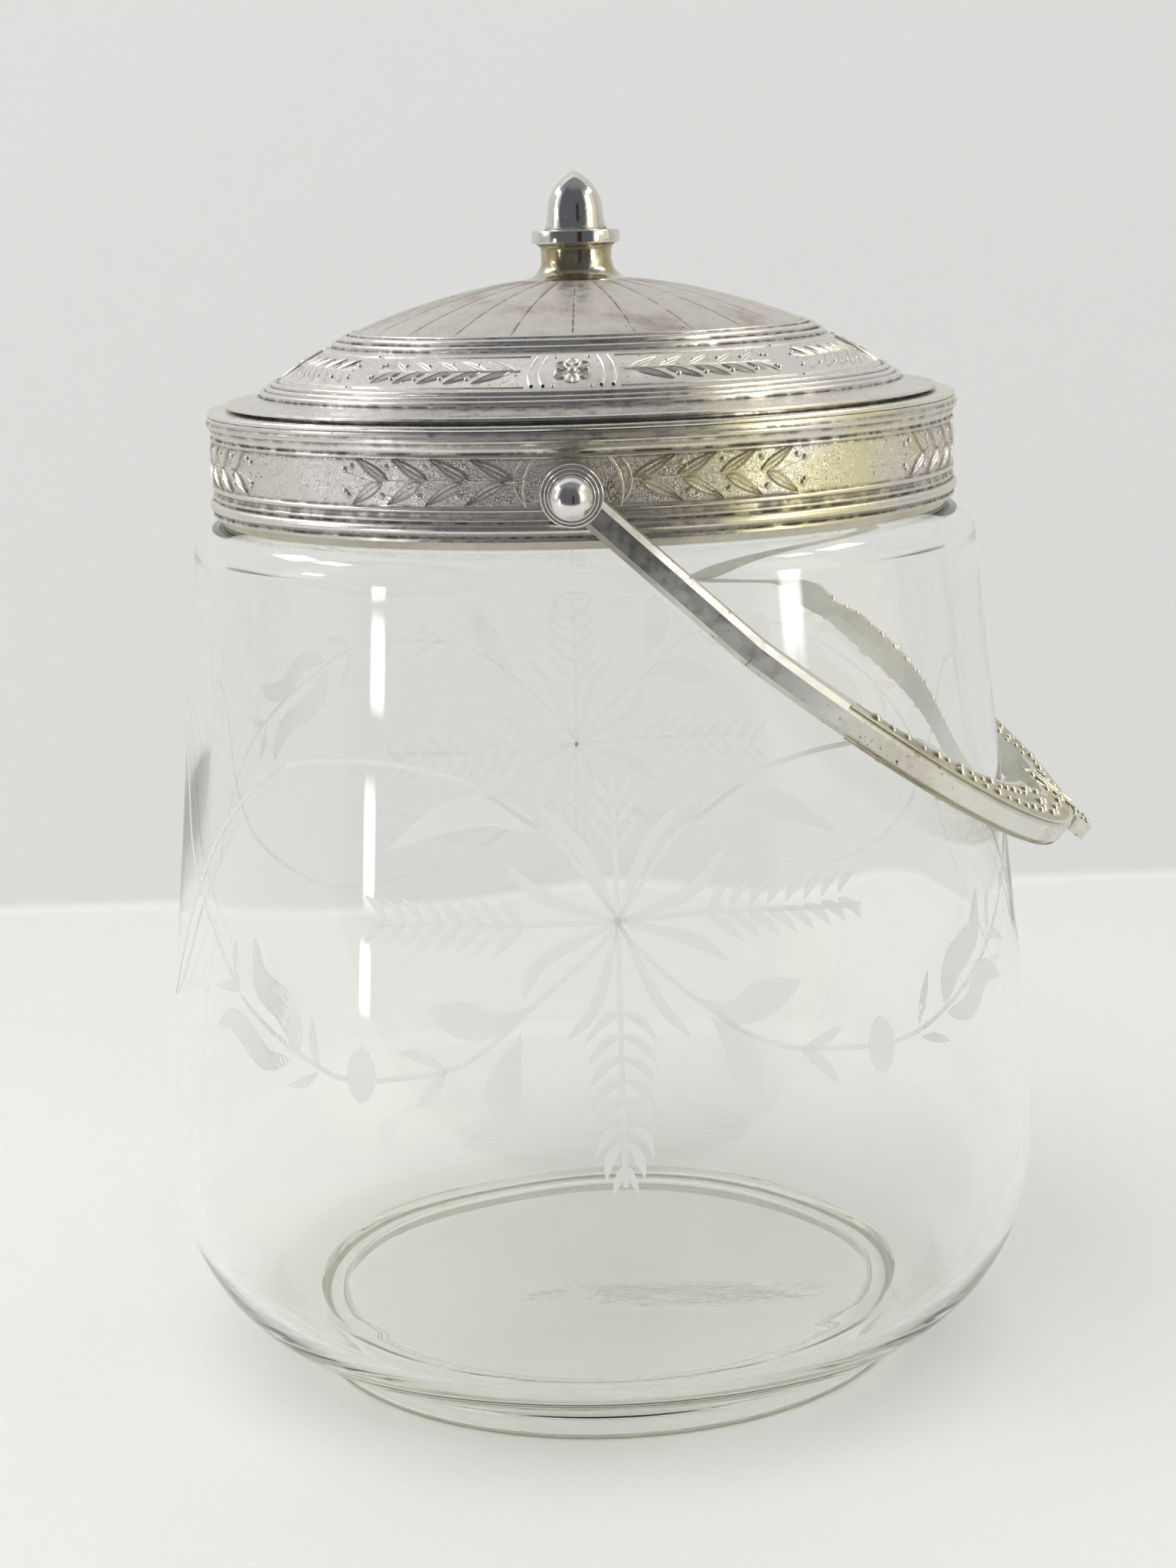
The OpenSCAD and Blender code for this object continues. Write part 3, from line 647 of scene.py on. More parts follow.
def engrave_star(cuts):
    """Star of narrow petals, a short fern standing on it, and ferns to both sides and below."""
    cut, heart = cuts.cut, (MOTIF_S, MOTIF_Z)
    for middle, tip, width in [
        ((-5.5, 91), (-11.5, 96), 2.0),
        ((0, 97.5), (-6.5, 104.5), 2.0),
        ((15, 91), (21.5, 97.5), 2.0),
        ((9, 97.5), (14.5, 104), 2.0),
        ((-6, 82), (-9.2, 76.5), 2.0),
        ((1.5, 76), (-3, 70.5), 1.7),
        ((10, 76), (14.5, 70.2), 1.7),
        ((15, 84.5), (20.3, 81), 2.0),
    ]:
        cut([heart, middle, tip], width, belly=0.55, blunt=0.6)
    cuts.vine([heart, (4.6, 98), (4.5, 108)], 16, 0.8)
    for z, spread in [(98, 3.4), (101, 3.2), (104, 2.8)]:
        for side in (-1, 1):
            cut([(4.6, z), (4.6 + side * spread * 0.6, z + 2.2), (4.6 + side * spread, z + 4.6)], 1.0)
    cuts.vine([heart, (-14, 87), (-34, 86.3)], 24, 0.8)
    cuts.vine([heart, (20, 88), (43, 86)], 24, 0.8)
    for i in range(8):
        s = -9 - 3 * i
        cut([(s, 87), (s - 1.4, 88.8), (s - 3.6, 91.2 - 0.15 * i)], 1.25)
        cut([(s, 86.6), (s - 2.4, 84.6), (s - 4.6 + 0.15 * i, 82 + 0.15 * i)], 1.5, belly=0.4)
        s = 18 + 3 * i
        cut([(s, 88.2), (s + 1.2, 90), (s + 3.2, 92.4 - 0.2 * i)], 1.25)
        cut([(s, 87.5), (s + 2.6, 85.8), (s + 5.2 - 0.2 * i, 83 + 0.15 * i)], 1.5, belly=0.4)
    cuts.vine([heart, (4.6, 66), (4.6, 49)], 24, 0.8)
    for i in range(6):
        z = 74.5 - 3.3 * i
        reach = 5.2 - 0.25 * i
        cut([(4.4, z), (2.2, z - 1.4), (4.4 - reach, z - 4.7)], 1.3, belly=0.4)
        cut([(4.8, z), (7.6, z - 1.6), (4.8 + reach, z - 4.9)], 1.3, belly=0.4)
    for side in (-1, 1):
        cut([(4.6, 56), (4.6 + side * 1.9, 53.6), (4.6 + side * 2.7, 50.2)], 1.5)
        cut([(4.6, 52.5), (4.6 + side * 0.9, 50.4), (4.6 + side * 1.7, 48)], 1.1)


def engrave_arches(cuts):
    """Plain stems that arch over the star and come down at the sides, each with a leaf beside the star."""
    left = [(MOTIF_S, MOTIF_Z), (-3, 98.5), (-8, 102), (-14.5, 106), (-19, 108), (-29, 109.5)]
    left += [(-40, 109.3), (-50, 107.4), (-58, 103), (-63.5, 98.7), (-69, 93.5), (-75.7, 85.1)]
    left += [(-80.4, 79.2), (-84.5, 73), (-92, 64.5), (-102, 61)]
    cuts.vine(left, 90)
    cuts.vine([(2 * MOTIF_S - s, z) for s, z in left], 90)
    cuts.cut([(-6, 101), (-14, 103.5), (-22, 101.5), (-30, 97)], 4.6, belly=0.4)
    cuts.cut([(15.6, 101), (23.6, 103.5), (31.6, 101.5), (39.6, 97)], 4.6, belly=0.4)


def engrave_garlands(cuts):
    """Leaves on a stem, an oval flower, more leaves, then the bare stem climbs the side."""
    cut, heart = cuts.cut, (MOTIF_S, MOTIF_Z)
    # on the left
    cuts.vine([heart, (1.5, 83.5), (-7, 76), (-14.5, 69), (-20.5, 65.5), (-31.8, 63)], 40)
    cut([(-8, 75.5), (-13, 72.8), (-18, 73.2), (-23.5, 74.2)], 5.4, belly=0.62, blunt=0.9)
    cut([(-9.5, 71.5), (-11.5, 66), (-12.3, 61.5), (-11.7, 56.3)], 5.2, belly=0.55)
    cut([(-20.5, 65.7), (-24, 67.3), (-28, 67.8)], 1.7)
    cut([(-20.5, 65.7), (-22.3, 62.8), (-25.3, 59.7)], 1.8)
    cuts.oval(-34.1, 63.6, 4.9, 8.6)
    rising = [(-36.5, 62.7), (-39.4, 63), (-47.8, 65.8), (-54.4, 68.6), (-60, 71.7), (-66.7, 77.4)]
    cuts.vine(rising + [(-75.7, 85.1), (-81.5, 91.2), (-86, 99.7), (-92, 108), (-102, 114)], 70)
    cut([(-41.7, 63), (-44.5, 60.9), (-47.5, 59.8)], 1.5)
    cut([(-41.7, 63.8), (-42.8, 67), (-43.3, 71)], 1.6)
    cut([(-45.8, 65.4), (-48.5, 71), (-54.3, 74.5), (-56.3, 80.8)], 5.4, belly=0.42)
    curled = [(-47.5, 63.8), (-53, 62.9), (-58.5, 66.2), (-63, 67), (-66.4, 64.3)]
    cut(curled, 4.4, belly=0.45, blunt=0.8)
    cut([(-60.5, 71.7), (-63.5, 71.9), (-67, 71.2)], 1.5)
    cut([(-60.3, 72.4), (-61.8, 75.5), (-61.4, 79.6)], 1.5)
    # on the right
    cuts.vine([heart, (7, 84), (14, 77), (22, 70.5), (30, 66.8), (42.5, 64.8)], 40)
    cut([(15.5, 76), (21, 73.2), (26, 74.8), (31.7, 76.4)], 5.4, belly=0.62, blunt=0.9)
    cut([(17.5, 73), (21, 69), (22.6, 64.5), (24.2, 59.1)], 5.2, belly=0.55)
    cut([(31.1, 66.3), (34.6, 67.2), (38.2, 68.8)], 1.7)
    cut([(31.1, 66.3), (34, 64), (36.9, 60.4)], 1.8)
    cuts.oval(45, 64.5, 4.9, 8.8)
    rising = [(47.4, 64.3), (53.9, 65.2), (61, 67.4), (69, 70.6), (76.7, 75.2), (83.3, 80.2)]
    cuts.vine(rising + [(90, 86.3), (95, 92.5), (99, 100), (103.5, 108), (111.6, 114)], 70)
    cut([(52.9, 65.8), (54.3, 69.5), (55.9, 73.6)], 1.6)
    cut([(53.3, 63.9), (56.5, 63), (59.8, 61.6)], 1.5)
    cut([(59.2, 67.6), (62.5, 73), (69, 76.3), (71.7, 82.4)], 5.4, belly=0.42)
    curled = [(60, 66), (66, 65.4), (71, 69), (75, 68.8), (78.6, 66.9)]
    cut(curled, 4.4, belly=0.42, blunt=0.8)
    cut([(74.8, 74.2), (78, 74), (81.7, 71.9)], 1.5)
    cut([(74.8, 75), (75.2, 78.5), (76.4, 81.9)], 1.5)


def make_engraving():
    for name, back in (("engraving_front", False), ("engraving_back", True)):
        cuts = Cuts(lambda s, z, h, back=back: on_glass(s, z, h, back))
        engrave_star(cuts)
        engrave_arches(cuts)
        engrave_garlands(cuts)
        cuts.make(name, CUT_BACK if back else CUT, "jar", "glass")


# ---- collar


def make_collar():
    """The band with its bead, lines and upper mouldings, and the rim plate that closes it."""
    low, lip = COLLAR_LOW, BAND_R + 0.35
    reeds = [(BAND_R - 0.1, low + 1.7, 0.9), (BAND_R, low + 3.1, 0.28), (BAND_R, low + 4.5, 0.38)]
    reeds += [(BAND_R, COLLAR_TOP - 3.5, 0.28)]
    outside = [(BAND_IN, low), (lip, low), (lip, low + 0.45), (BAND_R, low + 0.8), (BAND_R, 153.4)]
    outside += [(59.3, 153.55), (59.45, 153.9), (59.55, 154.5), (59.7, 154.75), (59.95, 154.85)]
    outside += [(60.03, 155.1), (60.03, 155.45), (59.85, 155.6), (59.8, 156.2), (59.7, COLLAR_TOP)]
    outline = with_reeds(outside, reeds) + [(BAND_IN, COLLAR_TOP), (BAND_IN, low + 0.05)]
    obj = lathe("band", outline, BAND, "jar")
    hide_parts("collar_band")
    edge, middle = 0.4, 156.8
    rim = arc((RIM_IN + edge, middle), edge, 270, 90) + arc((RIM_OUT - edge, middle), edge, 90, -90)
    obj = lathe("rim_plate", rim[::-1], SILVER, "jar")
    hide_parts("collar_rim")


def sprig(r, start, way, pitch, pairs, size, rim=0.4):
    """Laurel sprig from start along s, way being +1 or -1: paired leaves, berries and a stem."""
    end = start + way * (pitch * pairs + 1.5)
    r.stem([(start, 0), ((start + end) / 2, 0.15), (end, 0)], 0.45, 0.16, taper=0.6)
    for i in range(pairs):
        base = start + way * (0.6 + pitch * i)
        shrink = 1 - 0.05 * i
        for side in (-1, 1):
            b = base + way * (0.9 if side < 0 else 0.0)
            reach, top = size * shrink, side * (size * 0.5 + 0.25)
            points = [(b, side * 0.1), (b + way * reach * 0.45, top * 0.42), (b + way * reach, top)]
            r.leaf(points, size * 0.31, rim=rim)
            r.berry(b + way * (reach + 0.9), side * size * 0.33, size * 0.085)
    for side in (-1, 1):
        r.stem([(end - way * pitch * 0.7, 0), (end, side * size * 0.2)], 0.3, 0.12, steps=8, taper=0.6)
        r.berry(end + way * 0.3, side * size * 0.25, size * 0.085)


def stipple(r, start, end, half, count, seed):
    """Small punched marks that fill the ground of a sprig."""
    rng = np.random.default_rng(seed)
    for _ in range(count):
        s = start + (end - start) * rng.random() ** 0.9
        t = (2 * rng.random() - 1) * half
        a, b, up = 0.10 + 0.28 * rng.random(), 0.07 + 0.1 * rng.random(), 0.06 + 0.06 * rng.random()
        if rng.random() < 0.4:
            a, b = b, a
        ss = np.array([[s - a, s + a], [s - a, s + a]])
        tt = np.array([[t - b, t - b], [t + b, t + b]])
        r.grid(ss, tt, np.full((2, 2), -0.02))
        base = r.faces.pop()
        tip = int(r.grid(np.array([[s]]), np.array([[t]]), np.array([[up]]))[0, 0])
        r.faces += [[one, other, tip] for one, other in zip(base, base[1:] + base[:1])]


def make_collar_relief():
    """Four cartouches, and laurel sprigs on a stippled ground between them."""
    r = Relief(on_band, grime=0.45)
    for quarter in range(4):
        middle = quarter * TAU * BAND_R / 4
        for way in (-1, 1):
            sprig(r, middle + way * (CARTOUCHE_R + 0.9), way, 6.4, 4, 6.3)
            stipple(r, middle + way * 9, middle + way * 45, 3.3, 900, 10 * quarter + way + 1)
            bowed = [(CARTOUCHE_R + 1.3 - 0.14 * t * t, t) for t in np.linspace(-3.0, 3.0, 9)]
            r.stem([(middle + way * s, t) for s, t in bowed], 0.35, 0.16)
        ring = arc((middle, PIVOT_Z - FIELD_Z), CARTOUCHE_R, 0, 360, 72)
        ring = [(s, min(max(t, -3.85), 3.45)) for s, t in ring]
        r.stem(ring, 0.5, 0.2, steps=144)
    r.make("collar_relief", BAND, "jar")


# ---- screws


def make_screws():
    """Ball-headed screws: shank, a head of three rounded steps, and the ball."""
    shank_r, shank_in, round_r = 1.65, 55.5, 3.0
    tip = HEAD_IN + 2.3 + 1.55 * BALL_R
    line = [(0.0, shank_in), (shank_r, shank_in), (shank_r, HEAD_IN), (4.2, HEAD_IN)]
    line += [(4.45, HEAD_IN + 0.25)] + arc((4.2, HEAD_IN + 0.75), 0.25, 0, 90, 4)
    line += [(3.9, HEAD_IN + 0.95)] + arc((3.65, HEAD_IN + 1.45), 0.22, 0, 90, 4)
    line += [(3.35, HEAD_IN + 1.6)] + arc((3.15, HEAD_IN + 2.15), 0.2, 0, 90, 4)
    line += [(2.95, HEAD_IN + 2.4), (2.7, HEAD_IN + 2.8)]
    line += arc((0, tip - round_r), round_r, -28, 90, 40)
    line[-1] = (0.0, tip)
    for name, turn in (("front", 90), ("back", -90)):
        obj = lathe(f"ball_screw_{name}", line, SCREW, "jar", segments=96, closed=False, sharp=40)
        upright = Matrix.Rotation(radians(turn), 4, "X")
        obj.data.transform(Matrix.Translation((0, 0, PIVOT_Z * MM)) @ upright)
        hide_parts(f"pivot_screw_{name}")


# ---- lid


def bow(a, b, rise, steps):
    """Line from a to b that bulges by rise in the middle."""
    a, b = np.array(a, float), np.array(b, float)
    out = np.array([b[1] - a[1], a[0] - b[0]]) / np.linalg.norm(b - a)
    return [tuple(a + t * (b - a) + 4 * rise * t * (1 - t) * out) for t in np.linspace(0, 1, steps + 1)]


def dome_line(steps):
    return bow((DOME_R, DOME_LOW_Z), (FINIAL_SEAT_R, KNOB_SEAT), DOME_BULGE, steps)


def dome_inside():
    return [(r - 0.35, z - 1.0) for r, z in dome_line(12)]


def make_lid_mouldings():
    """Flange, reeds, the frieze's ground and the ring under the lid, up to the foot of the dome."""
    under = SEAT_Z + 0.45
    edge = [(FLANGE_R - 0.35, under), (FLANGE_R - 0.05, under + 0.08), (FLANGE_R, under + 0.3)]
    edge += [(FLANGE_R - 0.1, under + 0.52), (FLANGE_R - 0.4, under + 0.64)]
    flange = bow(edge[-1], (50.9, SEAT_Z + 2.2), -0.12, 10)
    frieze = bow(FRIEZE_LOW, FRIEZE_HIGH, FRIEZE_BULGE, 20)
    reeds = [(50.8, 2.4, 0.6), (49.8, 3.1, 0.5), (48.9, 3.8, 0.5)]
    reeds += [(39, 9.6, 0.55), (37.5, 10.4, 0.65), (36.2, 11.1, 0.4)]
    reeds = [(r, SEAT_Z + z, size) for r, z, size in reeds]
    outline = with_reeds(edge + flange[1:] + frieze + [(DOME_R, DOME_LOW_Z)], reeds)
    outline += [dome_inside()[0], (47.4, under), (51.9, under), (51.9, SEAT_Z), (53.5, SEAT_Z)]
    outline.append((53.5, under))
    obj = lathe("lid_mouldings", outline, LID, "lid")
    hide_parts("lid_shell")


def make_lid_dome():
    """Fanned dome: rows of points that crowd at each groove, and a plain inner skin."""
    near = np.array([-0.4, -0.22, -0.12, -0.05, 0.05, 0.12, 0.22, 0.4])
    depth = np.array([0.0, 0.02, -0.05, -0.12, -0.12, -0.05, 0.02, 0.0])
    dark = np.array([0.0, 0.08, 0.5, 0.85, 0.85, 0.5, 0.08, 0.0])
    between = np.linspace(0.12, 0.88, 9)
    columns = GROOVES * (len(near) + len(between))
    outer, inner = dome_line(60), dome_inside()
    points, hollow = [], []
    for r, z in outer:
        share = min(1.0, (r - FINIAL_SEAT_R) / 2.5)
        deep = share * min(1.0, max(0.0, (DOME_R - 0.3 - r) / 0.6))
        angle, lift = [], []
        for i in range(GROOVES):
            a = i * TAU / GROOVES
            angle += list(a + near / r) + list(a + between * TAU / GROOVES)
            lift += list(depth * deep) + list(0.12 * np.sin(pi * between) * deep)
            hollow += list(dark * (0.3 + 0.7 * deep)) + [0.0] * len(between)
        lift = np.array(lift)
        points += list(turned(np.array(angle), r + 0.25 * lift, z + lift))
    index, quads = sheet(0, len(outer), columns)
    lining, faces = sheet(len(points), len(inner), columns)
    quads += [face[:1] + face[:0:-1] for face in faces]
    for r, z in inner:
        points += list(turned(np.arange(columns) * TAU / columns, r, np.full(columns, z)))
    hollow += [0.0] * len(inner) * columns
    # the two skins are joined at both ends
    for i in range(columns):
        quads.append([int(n) for n in (index[0, i], lining[0, i], lining[0, i + 1], index[0, i + 1])])
        quads.append([int(n) for n in (index[-1, i], index[-1, i + 1], lining[-1, i + 1], lining[-1, i])])
    solid("lid_dome", points, quads, SATIN, "lid", hollow=hollow, sharp=50)


def rosette(r, middle):
    """A button and six petals."""
    r.berry(middle, 0, 0.75)
    for i in range(6):
        a = TAU * (i + 0.5) / 6
        petal = [(middle + reach * cos(a), reach * sin(a)) for reach in (0.9, 1.95, 3.0)]
        r.leaf(petal, 2.5, rim=0.32, steps=10, belly=0.55)


def make_frieze():
    """Four rosettes between round brackets, with sprigs between an upper and a lower line."""
    r = Relief(on_frieze, grime=0.35)
    for quarter in range(4):
        middle = quarter * (TAU * FRIEZE_R) / 4
        rosette(r, middle)
        for way in (-1, 1):
            for reach in (4.7, 6.3):
                bracket = [(middle + way * (reach - 0.055 * t * t), t) for t in np.linspace(-3.7, 3.7, 13)]
                r.stem(bracket, 0.55, 0.36, steps=30)
            for t in (3.7, -3.7):
                r.berry(middle + way * 2.6, t, 0.35)
            sprig(r, middle + way * 7.6, way, 4.5, 5, 5.2, rim=0.18)
            for t in (-3.9, 3.9):
                edge = [(middle + way * reach, t) for reach in (6.6, 20, 34)]
                r.stem(edge, 0.3, 0.16, steps=40)
            stipple(r, middle + way * 7, middle + way * 32, 3.4, 160, 60 + 2 * quarter + way)
    r.make("frieze_relief", FRIEZE, "lid")


def make_finial():
    """Flared foot, neck, disc and acorn."""
    neck, disc_low, disc_top, base, acorn_h = 5.65, 181.4, 183.6, KNOB_SEAT, 9.2
    outline = [(0, base), (FINIAL_SEAT_R, base), (FINIAL_SEAT_R, base + 0.1)]
    outline += arc((neck + 3.1, base + 3.2), 3.1, 268, 180, 16)
    outline += arc((neck + 1.0, disc_low - 1.0), 1.0, 180, 120, 6)
    outline += [(6.2, disc_low), (6.75, disc_low + 0.05)] + arc((6.75, disc_low + 0.35), 0.3, -80, 0, 4)
    outline += arc((6.75, disc_top - 0.35), 0.3, 0, 80, 4) + [(5.5, disc_top)]
    for t in np.sin(np.radians(np.linspace(0, 90, 40))):
        r = 4.5 * (1 - t**3.5) ** 0.9 + 0.5 * max(0.0, 1 - 4 * t) ** 2
        outline.append((r, disc_top + acorn_h * t))
    outline[-1] = (0.0, disc_top + acorn_h)
    obj = lathe("finial", outline, FINIAL, "lid", segments=128, closed=False, sharp=40)
    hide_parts("knob_finial")


# ---- handle


def crown_inner(a):
    """How far from the crown's centre the opening's edge lies, at an angle from the middle."""
    c = CROWN_C - OPEN_C
    return -c * cos(a) + sqrt((c * cos(a)) ** 2 + OPEN_R**2 - c * c)


def crown(degrees, r):
    a = radians(degrees)
    return (CROWN_C + r * cos(a), r * sin(a))


def crown_low(degrees):
    """Where the crown's ornament begins: the opening's edge, or that of the scallops beside the cusp."""
    a = radians(degrees)
    r = CROWN_R
    while r > crown_inner(a):
        v, u = CROWN_C + r * cos(a), abs(r * sin(a))
        if hypot(v - SCALLOP_V, u - SCALLOP_U) < SCALLOP_R:
            break
        r -= 0.1
    return r


def handle_ground(name, on_face):
    """The sunk, dirty ground of the crown's relief, that narrows along the arms."""
    ground = Relief(on_face)
    degrees = np.arange(-74, 75, 2.0)
    low = np.array([crown_low(d) for d in degrees]) + 0.75
    narrowing = np.clip((76 - abs(degrees)) / 14, 0.05, 1)
    high = low + np.maximum(CROWN_R - 1.1 - low, 0.05) * narrowing
    a = np.radians(degrees)
    radius = low + np.linspace(0, 1, 7)[:, None] * (high - low)
    flat, dirty = np.full(radius.shape, 0.03), np.full(radius.shape, 0.25)
    ground.grid(CROWN_C + radius * np.cos(a), radius * np.sin(a), flat, dirty)
    ground.make(name, OLD, "handle", sharp=50)


def bead_rows(r):
    """Beads in rows that thin out along the arms, and slanting ribs beside the middle."""
    rng = np.random.default_rng(5)
    degree = -71.0
    while degree < 71:
        wide = CROWN_R - 1.4 - crown_low(degree) - 0.9
        rows = max(1, int(wide / 2.7))
        size = min(0.85, 0.3 * wide / rows + 0.12)
        for k in range(rows):
            q = (k + 0.5 + 0.2 * rng.random() - 0.1) / rows
            if wide > 0.7:
                place = crown(degree + 0.7 * (k % 2), crown_low(degree) + 0.9 + q * wide)
                r.berry(*place, size * (0.7 + 0.5 * rng.random()), rise=0.9)
        if wide > 4.4 and abs(degree) < 12:
            lean = 2.2 if degree < 0 else -2.2
            middle, low = degree + 1.2, crown_low(degree + 1.2)
            line = [(middle - lean / 2, low + 1.0), (middle, low + 0.9 + wide / 2)]
            line.append((middle + lean, CROWN_R - 1.5))
            r.stem([crown(d, radius) for d, radius in line], 0.5, 0.4, steps=12, taper=0.3)
        degree += 3.2 if wide > 2.2 else 2.3


def make_crown_relief(name, face):
    """One face of the crown: its ground, lines along the edges, beads, and ribs down to the tongue."""
    on_face = lambda v, u, h: on_bail(v, u * face, face * (BAIL_HALF + h))
    handle_ground(f"handle_ground_{name}", on_face)
    r = Relief(on_face, grime=0.5)
    r.stem([crown(d, CROWN_R - 0.6) for d in range(-76, 77, 3)], 0.6, 0.14, steps=150)
    ridge_r = SCALLOP_R + 0.45
    for side in (-1, 1):
        ridge = [(v, -side * u) for v, u in arc((SCALLOP_V, -SCALLOP_U), ridge_r, -50, 60, 11)]
        r.stem(ridge, 0.45, 0.2, steps=40)
    bead_rows(r)
    for side in (-1, 1):
        r.stem([(90.6, side * 0.6), (94.5, side * 2.0), (99.3, side * 2.8)], 0.7, 0.6)
    r.stem([(89.6, 0), (94, 0), (98.5, 0)], 0.6, 0.6)
    r.make(f"handle_relief_{name}", WORN, "handle")


def make_tongue_beads():
    tongue = Relief(lambda v, u, h: on_bail(v, u, 1.7 + h), grime=0.5)
    beads = [(100.4, 0), (101.6, 2.2), (101.6, -2.2), (102.8, 0.2), (99.8, 3.3), (99.8, -3.3)]
    for v, u in beads + [(102.6, 2.3), (102.6, -2.1)]:
        tongue.berry(v, u, 0.5, rise=1.0)
    tongue.make("tongue_beads", WORN, "handle")


# ---- stage, camera, lights

VIEW_TURN = 1.5  # degrees that the camera and the cloth are turned by about the jar's axis
LAMPS_OFF = 500  # mm from the axis to the small lamps


def make_stage():
    """Floor and backdrop of one pale cloth, with a soft fold between them."""
    fold, turn = 297.0, 3.0
    line = [(-2500, 0), (-600, 0), (0, 0), (fold - turn, 0)] + arc((fold - turn, turn), turn, -75, 0, 5)
    line += [(fold, 100), (fold + 2, 400), (fold + 2, 1500)]
    xs = np.linspace(-2500, 2500, 201)
    points = [(x, y, z) for y, z in line for x in xs]
    mesh = mesh_of("cloth", points, sheet(0, len(line), len(xs), wrap=False)[1])
    obj = show("cloth", mesh)
    obj.rotation_euler = (0, 0, radians(VIEW_TURN))
    mesh.shade_smooth()
    mesh.materials.append(pale_cloth())


def pale_cloth():
    """Seen from one side only, and mirrored in metal only up to 35 cm in front of the jar."""
    s = Shader("pale_cloth")
    z = s.xyz()[2]
    # The fold and the upright backdrop are painted a darker tone than the floor: painted shade on one cloth.
    tone = s.mix(s.step(z, 0.0005, 0.003), (0.85, 0.845, 0.82), (0.77, 0.775, 0.765))
    shader = s.surface(base_color=tone, roughness=0.9, normal=s.bump(s.noise(900, 2), 0.0001))
    behind = s.node("ShaderNodeNewGeometry").outputs["Backfacing"]
    path = s.node("ShaderNodeLightPath").outputs
    mirrored = s.math("SUBTRACT", path["Is Glossy Ray"], path["Is Transmission Ray"])
    past_edge = s.times(mirrored, s.step(s.xyz()[1], -0.33, -0.36))
    s.let_pass(s.most(behind, past_edge), shader)
    return s.material


def set_bounces():
    """The thick heel and foot of the glass need more bounces than the default, or they turn black."""
    cycles = scene.cycles
    cycles.glossy_bounces, cycles.transmission_bounces, cycles.max_bounces = 16, 24, 24


def make_camera():
    pitch, roll, turn = 0.2058, 0.0307, Matrix.Rotation(radians(VIEW_TURN), 3, "Z")
    sp, cp, sr, cr = sin(pitch), cos(pitch), sin(roll), cos(roll)
    right = turn @ Vector((cr, -sr * sp, -sr * cp))
    up = turn @ Vector((sr, cr * sp, cr * cp))
    ahead = turn @ Vector((0, cp, -sp))
    place = turn @ Vector((-0.72, -447.14, 186.82)) * MM
    data = bpy.data.cameras.new("camera")
    data.sensor_fit, data.sensor_width = "AUTO", 36.0
    focal, high = 3600, 2048  # pixels
    data.lens = data.sensor_width * focal / high
    data.clip_start, data.clip_end = 0.01, 20
    obj = show("camera", data)
    axes = Matrix((right, up, -ahead)).transposed().to_4x4()
    obj.matrix_world = Matrix.Translation(place) @ axes
    bpy.context.scene.camera = obj


def lamp(name, place, aim, size, radiance, soft=0.0, lights_matt=True, in_metal=True):
    """Oblong lamp, place, aim and size in mm. radiance is what it shows in a mirror, and it fades over a
    share soft of its width and height."""
    data = bpy.data.lights.new(name, "AREA")
    data.shape = "RECTANGLE"
    data.size, data.size_y = size[0] * MM, size[1] * MM
    data.energy = 4 * data.size * data.size_y * radiance
    if soft:
        s = Nodes(data)
        glow = next(node for node in s.tree.nodes if node.type == "EMISSION")
        spot = s.node("ShaderNodeNewGeometry").outputs["Parametric"]
        across = s.node("ShaderNodeSeparateXYZ", {0: spot}).outputs
        fades = [s.step(s.math("PINGPONG", across[axis], 0.5), 0.0, soft) for axis in (0, 1)]
        s.put(glow.inputs["Strength"], s.times(*fades))
    obj = show(name, data)
    obj.location = Vector(place) * MM
    obj.rotation_euler = (Vector(aim) - Vector(place)).to_track_quat("-Z", "Y").to_euler()
    obj.visible_camera = obj.visible_transmission = False
    obj.visible_glossy = in_metal
    obj.visible_diffuse = lights_matt


def around(azimuth, distance, z):
    """Place at an azimuth from the front, to the right positive."""
    a = radians(azimuth)
    return (distance * sin(a), -distance * cos(a), z)


def make_lights():
    lamp("ceiling", (-350, -350, 1300), (0, 0, 60), (1100, 1100), 1.4, in_metal=False)
    # azimuth, place above the table, width, height, radiance
    panes = [(-55, 128, 46, 36, 16), (-56.7, 72, 36, 46, 16), (-57.4, 29, 34, 28, 16)]
    panes.append((56.5, 172, 74, 112, 14))
    for i, (azimuth, z, width, height, radiance) in enumerate(panes):
        place, aim = around(azimuth, LAMPS_OFF, z), (0, 0, min(z, 150))
        lamp(f"pane_{i}", place, aim, (width, height), radiance, soft=0.3)
    # these light nothing that is matt
    high = [(-112, 530, 190, 110), (-92, 575, 150, 85), (-79, 262, 80, 46), (100, 605, 210, 95)]
    high.append((77, 620, 120, 90))
    for i, (azimuth, z, width, height) in enumerate(high):
        place = around(azimuth, LAMPS_OFF, z)
        lamp(f"high_{i}", place, (0, 0, 137), (width, height), 8, soft=0.12, lights_matt=False)


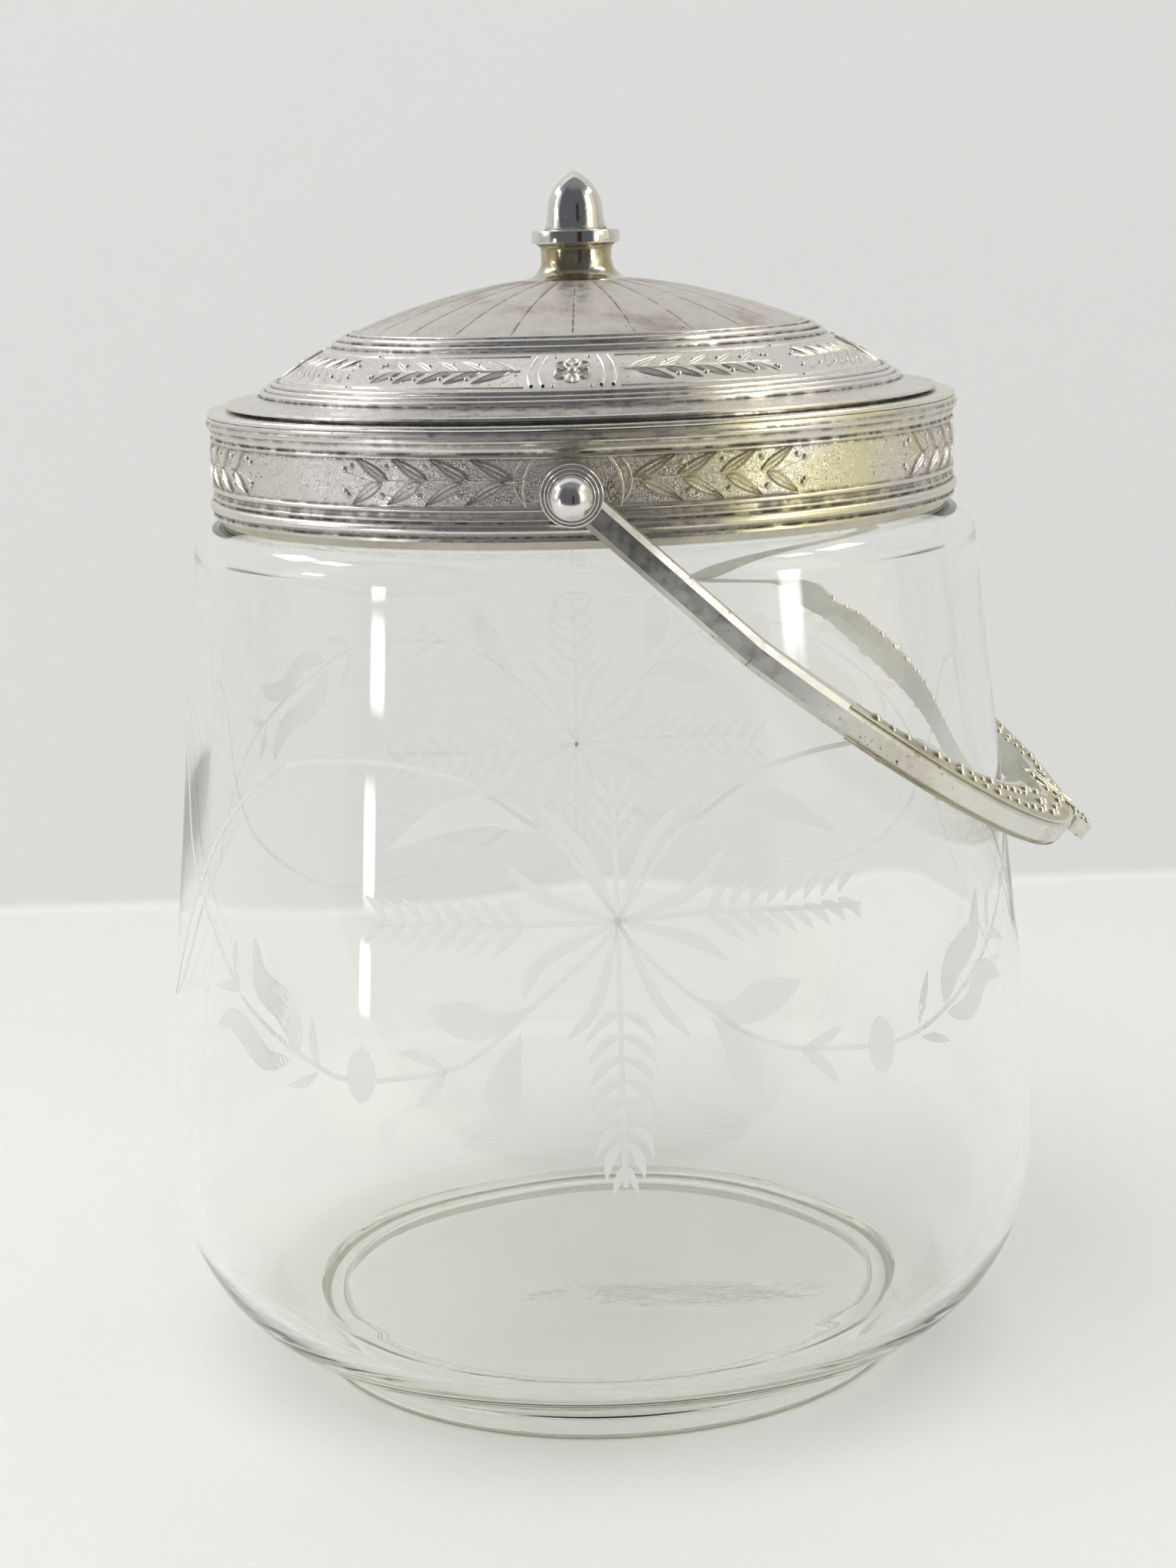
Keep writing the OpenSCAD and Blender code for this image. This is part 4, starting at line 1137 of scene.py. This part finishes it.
def make_world():
    """Plain to matt things. Metal and glass see a pale room, warm on the right, dim behind the camera."""
    world = bpy.data.worlds.new("studio")
    scene.world = world
    s = Nodes(world)
    s.clear("ShaderNodeOutputWorld", "Generated")
    x, y, z = s.xyz()
    azimuth = s.math("ARCTAN2", x, s.times(y, -1.0))

    def sector(low, high, soft=0.08):
        return s.between(azimuth, low - soft, low + soft, high - soft, high + soft)

    colour = s.mix(s.step(x, -0.5, 0.6), (0.63, 0.60, 0.61), (0.90, 0.84, 0.66))
    through = s.mix(s.step(z, 0.55, 0.9), colour, (0.7, 0.7, 0.7))
    colour = s.mix(s.step(z, 0.5, 0.85), colour, (0.27, 0.27, 0.285))
    room = s.times(sector(-1.2, 0.86), s.step(z, 0.98, 0.8))
    through = s.mix(room, through, (0.5, 0.5, 0.48))
    colour = s.mix(room, colour, (0.12, 0.125, 0.14))
    door = s.times(sector(0.1, 0.3, 0.04), s.step(z, 0.5, 0.3))
    colour = s.mix(door, colour, (0.04, 0.024, 0.02))
    rise = s.between(z, 0.0, 0.08, 0.56, 0.66)
    for low, high, tone in ((-1.68, -1.40, (1.6, 1.57, 1.62)), (0.95, 1.35, (1.9, 1.8, 1.5))):
        colour = s.mix(s.times(rise, sector(low, high, 0.06)), colour, tone)
    path = s.node("ShaderNodeLightPath").outputs
    colour = s.mix(path["Is Transmission Ray"], colour, through)
    colour = s.mix(path["Is Glossy Ray"], (0.72, 0.72, 0.72), colour)
    back = s.node("ShaderNodeBackground", {0: colour, 1: 1.0}).outputs[0]
    s.put(s.out.inputs["Surface"], back)


def dress_cad():
    """The CAD pieces that show as they are get their materials."""
    for material, names in (
        (PLASTER, ["plaster_bedding"]),
        (SILVER, ["handle_boss_front", "handle_boss_back"]),
        (BRASS, ["pivot_nut_front", "pivot_nut_back", "pivot_washer_front", "pivot_washer_back"]),
        (HANDLE, ["bail_handle"]),
        (LID, ["lid_bezel"]),
        (BRASS, ["knob_stud", "knob_washer", "knob_nut"]),
    ):
        for name in names:
            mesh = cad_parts[name].data
            mesh.materials.clear()
            mesh.materials.append(material)


dress_cad()
make_glass()
make_engraving()
make_collar()
make_collar_relief()
make_screws()
make_lid_mouldings()
make_lid_dome()
make_frieze()
make_finial()
make_crown_relief("top", 1)
make_tongue_beads()
make_crown_relief("under", -1)
make_stage()
set_bounces()
make_camera()
make_lights()
make_world()
bpy.context.scene.view_settings.view_transform = "Standard"
